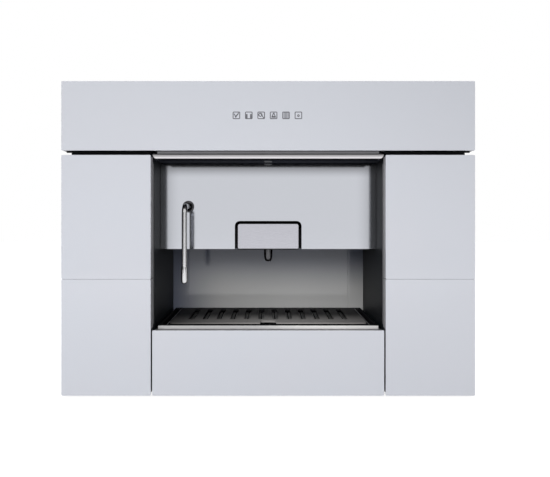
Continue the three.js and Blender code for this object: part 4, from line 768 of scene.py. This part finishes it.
# %% Channel bottoms
SLOTS, SLOT_PITCH, SLOT_WIDTH, SLIT = 12, 21.8 * MM, 9 * MM, 1.6 * MM
CHANNEL_DEPTH, CHANNEL_SHEET = 5.2 * MM, 0.6 * MM       # depth from the top of the grille
SLOTS_FROM_FRONT, SLOTS_FROM_REAR = 34 * MM, 18 * MM
CHANNEL_WIDTH = SLOT_WIDTH + 2 * MM
grille_low, grille_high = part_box("drip_grille")
channel_front = grille_low[1] + SLOTS_FROM_FRONT
channel_rear = grille_high[1] - SLOTS_FROM_REAR
strip_width = (CHANNEL_WIDTH - SLIT) / 2
bm = bmesh.new()
for number in range(SLOTS):
    x = (number - (SLOTS - 1) / 2) * SLOT_PITCH
    for side in (-1, 1):
        centre = Vector((x + side * (SLIT + strip_width) / 2, (channel_front + channel_rear) / 2,
                         grille_high[2] - CHANNEL_DEPTH))
        size = Matrix.Diagonal((strip_width, channel_rear - channel_front, 1, 1))
        bmesh.ops.create_grid(bm, x_segments=1, y_segments=4, size=0.5,
                              matrix=Matrix.Translation(centre) @ size)
bmesh.ops.solidify(bm, geom=list(bm.faces), thickness=CHANNEL_SHEET)
bmesh.ops.recalc_face_normals(bm, faces=bm.faces)
as_piece(bm, "drain_channels", "grille", channel_steel)
print("channels:", SLOTS, "with slits of", round(SLIT / MM, 1), "mm")

# %% [markdown]
# ## Seals and trim strips
# Between a glass front and the steel behind it there is always a soft strip. It closes the joint,
# and from the front it's the thin grey or black line along an edge. A grey strip along each side of
# the tray's rim is a painted highlight on its edge, a black sheet under the lip is painted shade,
# and a black strip along the foot of the outlet's cover is a painted shadow line. Each strip is a
# bar from a bmesh cube, stretched between two corners and rounded along its edges.

# %% Bars for strips
def strip(bm, low, high, round_over):
    size = Vector(high) - Vector(low)
    centre = (Vector(high) + Vector(low)) / 2
    made = bmesh.ops.create_cube(bm, size=1.0, matrix=Matrix.Translation(centre * MM)
                                 @ Matrix.Diagonal((*(size * MM), 1)))
    edges = list(dict.fromkeys(edge for vert in made["verts"] for edge in vert.link_edges))
    bmesh.ops.bevel(bm, geom=edges, offset=round_over * MM, offset_type="OFFSET", affect="EDGES",
                    segments=3, profile=0.5, material=-1, clamp_overlap=True)


def strips(name, body, material, round_over, corners):
    # each bar goes from its low to its high corner, in millimetres
    bm = bmesh.new()
    for low, high in corners:
        strip(bm, low, high, round_over)
    smooth_over(bm)
    piece = as_piece(bm, name, body, material)
    print(name + ":", len(corners), "on", body)
    return piece


def left_and_right(low, high):
    return [((-high[0], *low[1:]), (-low[0], *high[1:])), (low, high)]


print("bars ready")

# %% Strips of the machine, the tray and the outlet
seal_and_highlight_grey = mottled("seal_and_highlight_grey", (0.13, 0.128, 0.135), 0.5, 0.65, 800, 0.0, 0.2)
strips("lip_seal", "machine", seal_and_highlight_grey, 0.7,
       [((-160, -196.5, 350.7), (160, -193.4, 354.8))])
# A black sheet under the lip: painted shade, where the real lip's underside mirrors the dark tray.
strips("lip_underside_shade", "machine", dull_black, 0.15,
       [((-160, -194.6, 342.8), (160, -176.2, 343.2))])
strips("niche_edge_trim", "machine", seal_and_highlight_grey, 0.25,
       left_and_right((168.15, -176.1, 102), (169.7, -175.35, 338)))
strips("fascia_seal", "machine", rubber_and_shade_black, 0.4,
       left_and_right((172, -178.4, 353.7), (296, -176.2, 355.15)))
# A grey strip on each side of the tray's rim: a painted highlight on its edge.
strips("tray_rim_highlights", "drip_drawer", seal_and_highlight_grey, 0.3,
       left_and_right((149.3, -168, 99.7), (150.5, 12, 100.4)))
# A black strip along the foot of the outlet's cover: a painted shadow line under it.
low, high = (Vector(corner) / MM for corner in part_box("outlet_cover"))
strips("outlet_foot_shadow", "outlet", rubber_and_shade_black, 0.15,
       [((low.x + 0.3, low.y - 0.3, low.z - 1.0), (high.x - 0.3, low.y + 0.5, low.z + 0.7))])

# %% [markdown]
# The two doors meet the drawers below them in a hair-thin joint. A pale foam strip under each door
# closes it, so the joint is only a faint line. A grey one along the inner side of each panel covers
# the liner where it can be seen from the niche. They ride on the door or the drawer they belong to.

# %% Strips on the doors and drawers
foam_grey = mottled("foam_grey", (0.55, 0.56, 0.60), 0.6, 0.8, 900, 0.0, 0.2, 0.1)
edge_grey = mottled("edge_grey", (0.52, 0.515, 0.535), 0.5, 0.65, 800, 0.0, 0.2, 0.2)
foot_strips = left_and_right((169.3, -199.7, 169.9), (297.1, -196.3, 170.24))
door_strips = left_and_right((169.05, -195.6, 170.5), (169.88, -178.5, 347))
drawer_strips = left_and_right((169.05, -195.6, 98), (169.88, -178.5, 169.6))
for side, (door, drawer) in enumerate((("left_door", "grounds_drawer"),
                                       ("right_door", "tank_drawer"))):
    strips(door + "_foot_strip", door, foam_grey, 0.08, [foot_strips[side]])
    strips(door + "_inner_strip", door, edge_grey, 0.2, [door_strips[side]])
    strips(drawer + "_inner_strip", drawer, edge_grey, 0.2, [drawer_strips[side]])

# %% [markdown]
# ## Screws
# Sheet-metal panels are held by pan-head screws with a cross recess. One head is turned on the
# lathe with a dished top, two short bars make the cross in the dish, and copies of that one mesh go
# to every place where a panel is fixed. A screw is small, so a coarse lathe is enough.

# %% One screw head
zinc_screw = mottled("zinc_screw", (0.10, 0.10, 0.105), 0.3, 0.45, 900, 0.8)
SCREW_OUTLINE = [(0, 0), (3.2, 0), (3.2, 0.5), (2.9, 1.0), (2.3, 1.35), (1.9, 1.5), (1.5, 0.9),
                 (0, 0.9)]
bm = turned(SCREW_OUTLINE, (0, 0, 0), 20)
strip(bm, (-1.3, -0.28, 0.85), (1.3, 0.28, 1.2), 0.1)
strip(bm, (-0.28, -1.3, 0.85), (0.28, 1.3, 1.2), 0.1)
screw_mesh = bpy.data.meshes.new("screw_head")
bm.to_mesh(screw_mesh)
bm.free()
print("one head:", len(screw_mesh.polygons), "faces")

# %% Screws in their places
def screws(name, places, material):
    # each place is a point in millimetres and the direction in which the head looks
    bm = bmesh.new()
    for point, outward in places:
        known = len(bm.verts)
        bm.from_mesh(screw_mesh)
        bm.verts.ensure_lookup_table()
        turn = UP.rotation_difference(Vector(outward)).to_matrix().to_4x4()
        bmesh.ops.transform(bm, matrix=Matrix.Translation(Vector(point) * MM) @ turn,
                            verts=bm.verts[known:])
    smooth_over(bm, 35)
    as_piece(bm, name, "machine", material)
    print(name + ":", len(places))


REAR_FACE, SIDE_FACE, TOP_FACE, FRAME_FACE = 200, 278, 449, -175.3     # in millimetres
DEPTHS = (-150, 20, 180)
rear = [(x, z) for x in (-266, -90, 90, 266) for z in (14, 436)]
rear += [(x, z) for x in (-266, 266) for z in (150, 300)]
rear += [(-122, 70), (-58, 70)]         # either side of the mains socket
outside = [((x, REAR_FACE, z), (0, 1, 0)) for x, z in rear]
outside += [((side * SIDE_FACE, y, z), (side, 0, 0))
            for side in (-1, 1) for y in DEPTHS for z in (16, 425)]
outside += [((x, y, TOP_FACE), (0, 0, 1)) for x in (-262, 262) for y in DEPTHS]
screws("panel_screws", outside, zinc_screw)
inside = [((side * 284, FRAME_FACE, z), (0, -1, 0))
          for side in (-1, 1) for z in (24, 130, 215, 305)]
screws("frame_screws", inside, seal_and_highlight_grey)

# %% [markdown]
# ## Pins of the mains socket
# The socket for the mains lead has three flat pins: two side by side and the earth pin over them.

# %% Mains pins
strips("mains_pins", "machine", cast_alloy, 0.6,
       [((x - 1.0, 178, z - 2.0), (x + 1.0, 194, z + 2.0))
        for x, z in ((-97, 67), (-83, 67), (-90, 73))])

# %% [markdown]
# ## Touch icons
# On the real one six small square fields are printed behind the fascia glass. Each is a rounded
# frame with a plain sign in it, made of bars and rings. Here they lie a few hundredths of a
# millimetre in front of the glass, which is flat enough to look printed and far enough to be drawn
# without flicker.

# %% Bars, rings and frames for the icons
ICON_SIDE, ICON_LINE, ICON_CORNER = 10.8 * MM, 1.3 * MM, 1.6 * MM
ICON_X, ICON_STEP, ICON_Z = -45.7 * MM, 17.82 * MM, 405.6 * MM
BEFORE_GLASS = 0.00004
icon_print = mottled("icon_print", (0.115, 0.115, 0.13), 0.4, 0.5, 900)


def on_glass(x, z, turn=0.0, wide=1.0, high=1.0):
    place = Matrix.Translation((x, FRONT_Y - BEFORE_GLASS, z)) @ Matrix.Rotation(turn, 4, "Y")
    return place @ Matrix.Rotation(math.radians(90), 4, "X") @ Matrix.Diagonal((wide, high, 1, 1))


def bar(bm, x, z, length, width, turn=0.0):
    bmesh.ops.create_grid(bm, x_segments=1, y_segments=1, size=0.5,
                          matrix=on_glass(x, z, math.radians(turn), length, width))


def ring(bm, x, z, radius, width):
    made = bmesh.ops.create_circle(bm, cap_ends=True, segments=32, radius=radius,
                                   matrix=on_glass(x, z))
    disc = made["verts"][0].link_faces[0]
    bmesh.ops.inset_region(bm, faces=[disc], thickness=width, use_even_offset=True,
                            use_boundary=True)
    bmesh.ops.delete(bm, geom=[disc], context="FACES")


def icon_frame(bm, x, z):
    made = bmesh.ops.create_grid(bm, x_segments=1, y_segments=1, size=0.5,
                                 matrix=on_glass(x, z, 0, ICON_SIDE, ICON_SIDE))
    field = made["verts"][0].link_faces[0]
    rounded = bmesh.ops.bevel(bm, geom=list(field.verts), offset=ICON_CORNER,
                              offset_type="OFFSET", affect="VERTICES", segments=4, profile=0.5,
                              material=-1)
    field = max((face for vert in rounded["verts"] for face in vert.link_faces),
                key=lambda face: face.calc_area())
    bmesh.ops.inset_region(bm, faces=[field], thickness=ICON_LINE, use_even_offset=True,
                            use_boundary=True)
    bmesh.ops.delete(bm, geom=[field], context="FACES")


print("field:", round(ICON_SIDE / MM, 1), "mm wide")

# %% Touch icons
# in millimetres from the middle of the field: rings as x, z, radius and line width,
# bars as x, z, length, width and turn in degrees
SIGNS = [
    {"bars": [(-1.9, -0.4, 6.4, 1.3, 66), (0.6, -0.2, 6.4, 1.3, -52), (1.4, 1.2, 6.4, 1.3, -52)]},
    {"bars": [(-2.9, -1.2, 2.2, 6.0, 0), (2.9, -1.2, 2.2, 6.0, 0)]},
    {"rings": [(-1.2, 0.8, 2.9, 1.3)], "bars": [(1.6, -0.8, 8.0, 1.3, 56)]},
    {"bars": [(-1.4, 0.2, 7.4, 1.3, -66), (1.6, 0.2, 7.4, 1.3, 66), (0.1, -2.2, 4.0, 2.4, 0)]},
    {"bars": [(x, 0, 1.1, 8.4, 0) for x in (-2.7, -0.8, 1.1, 3.0)]},
    {"rings": [(0, -0.4, 1.9, 1.3)]},
]
bm = bmesh.new()
for number, sign in enumerate(SIGNS):
    middle = ICON_X + number * ICON_STEP
    icon_frame(bm, middle, ICON_Z)
    for x, z, radius, width in sign.get("rings", ()):
        ring(bm, middle + x * MM, ICON_Z + z * MM, radius * MM, width * MM)
    for x, z, length, width, turn in sign.get("bars", ()):
        bar(bm, middle + x * MM, ICON_Z + z * MM, length * MM, width * MM, turn)
for face in bm.faces:
    if face.normal.y > 0:
        face.normal_flip()
icons = as_piece(bm, "touch_icons", "machine", icon_print)
print("icons:", len(SIGNS), "in", len(icons.data.polygons), "faces")
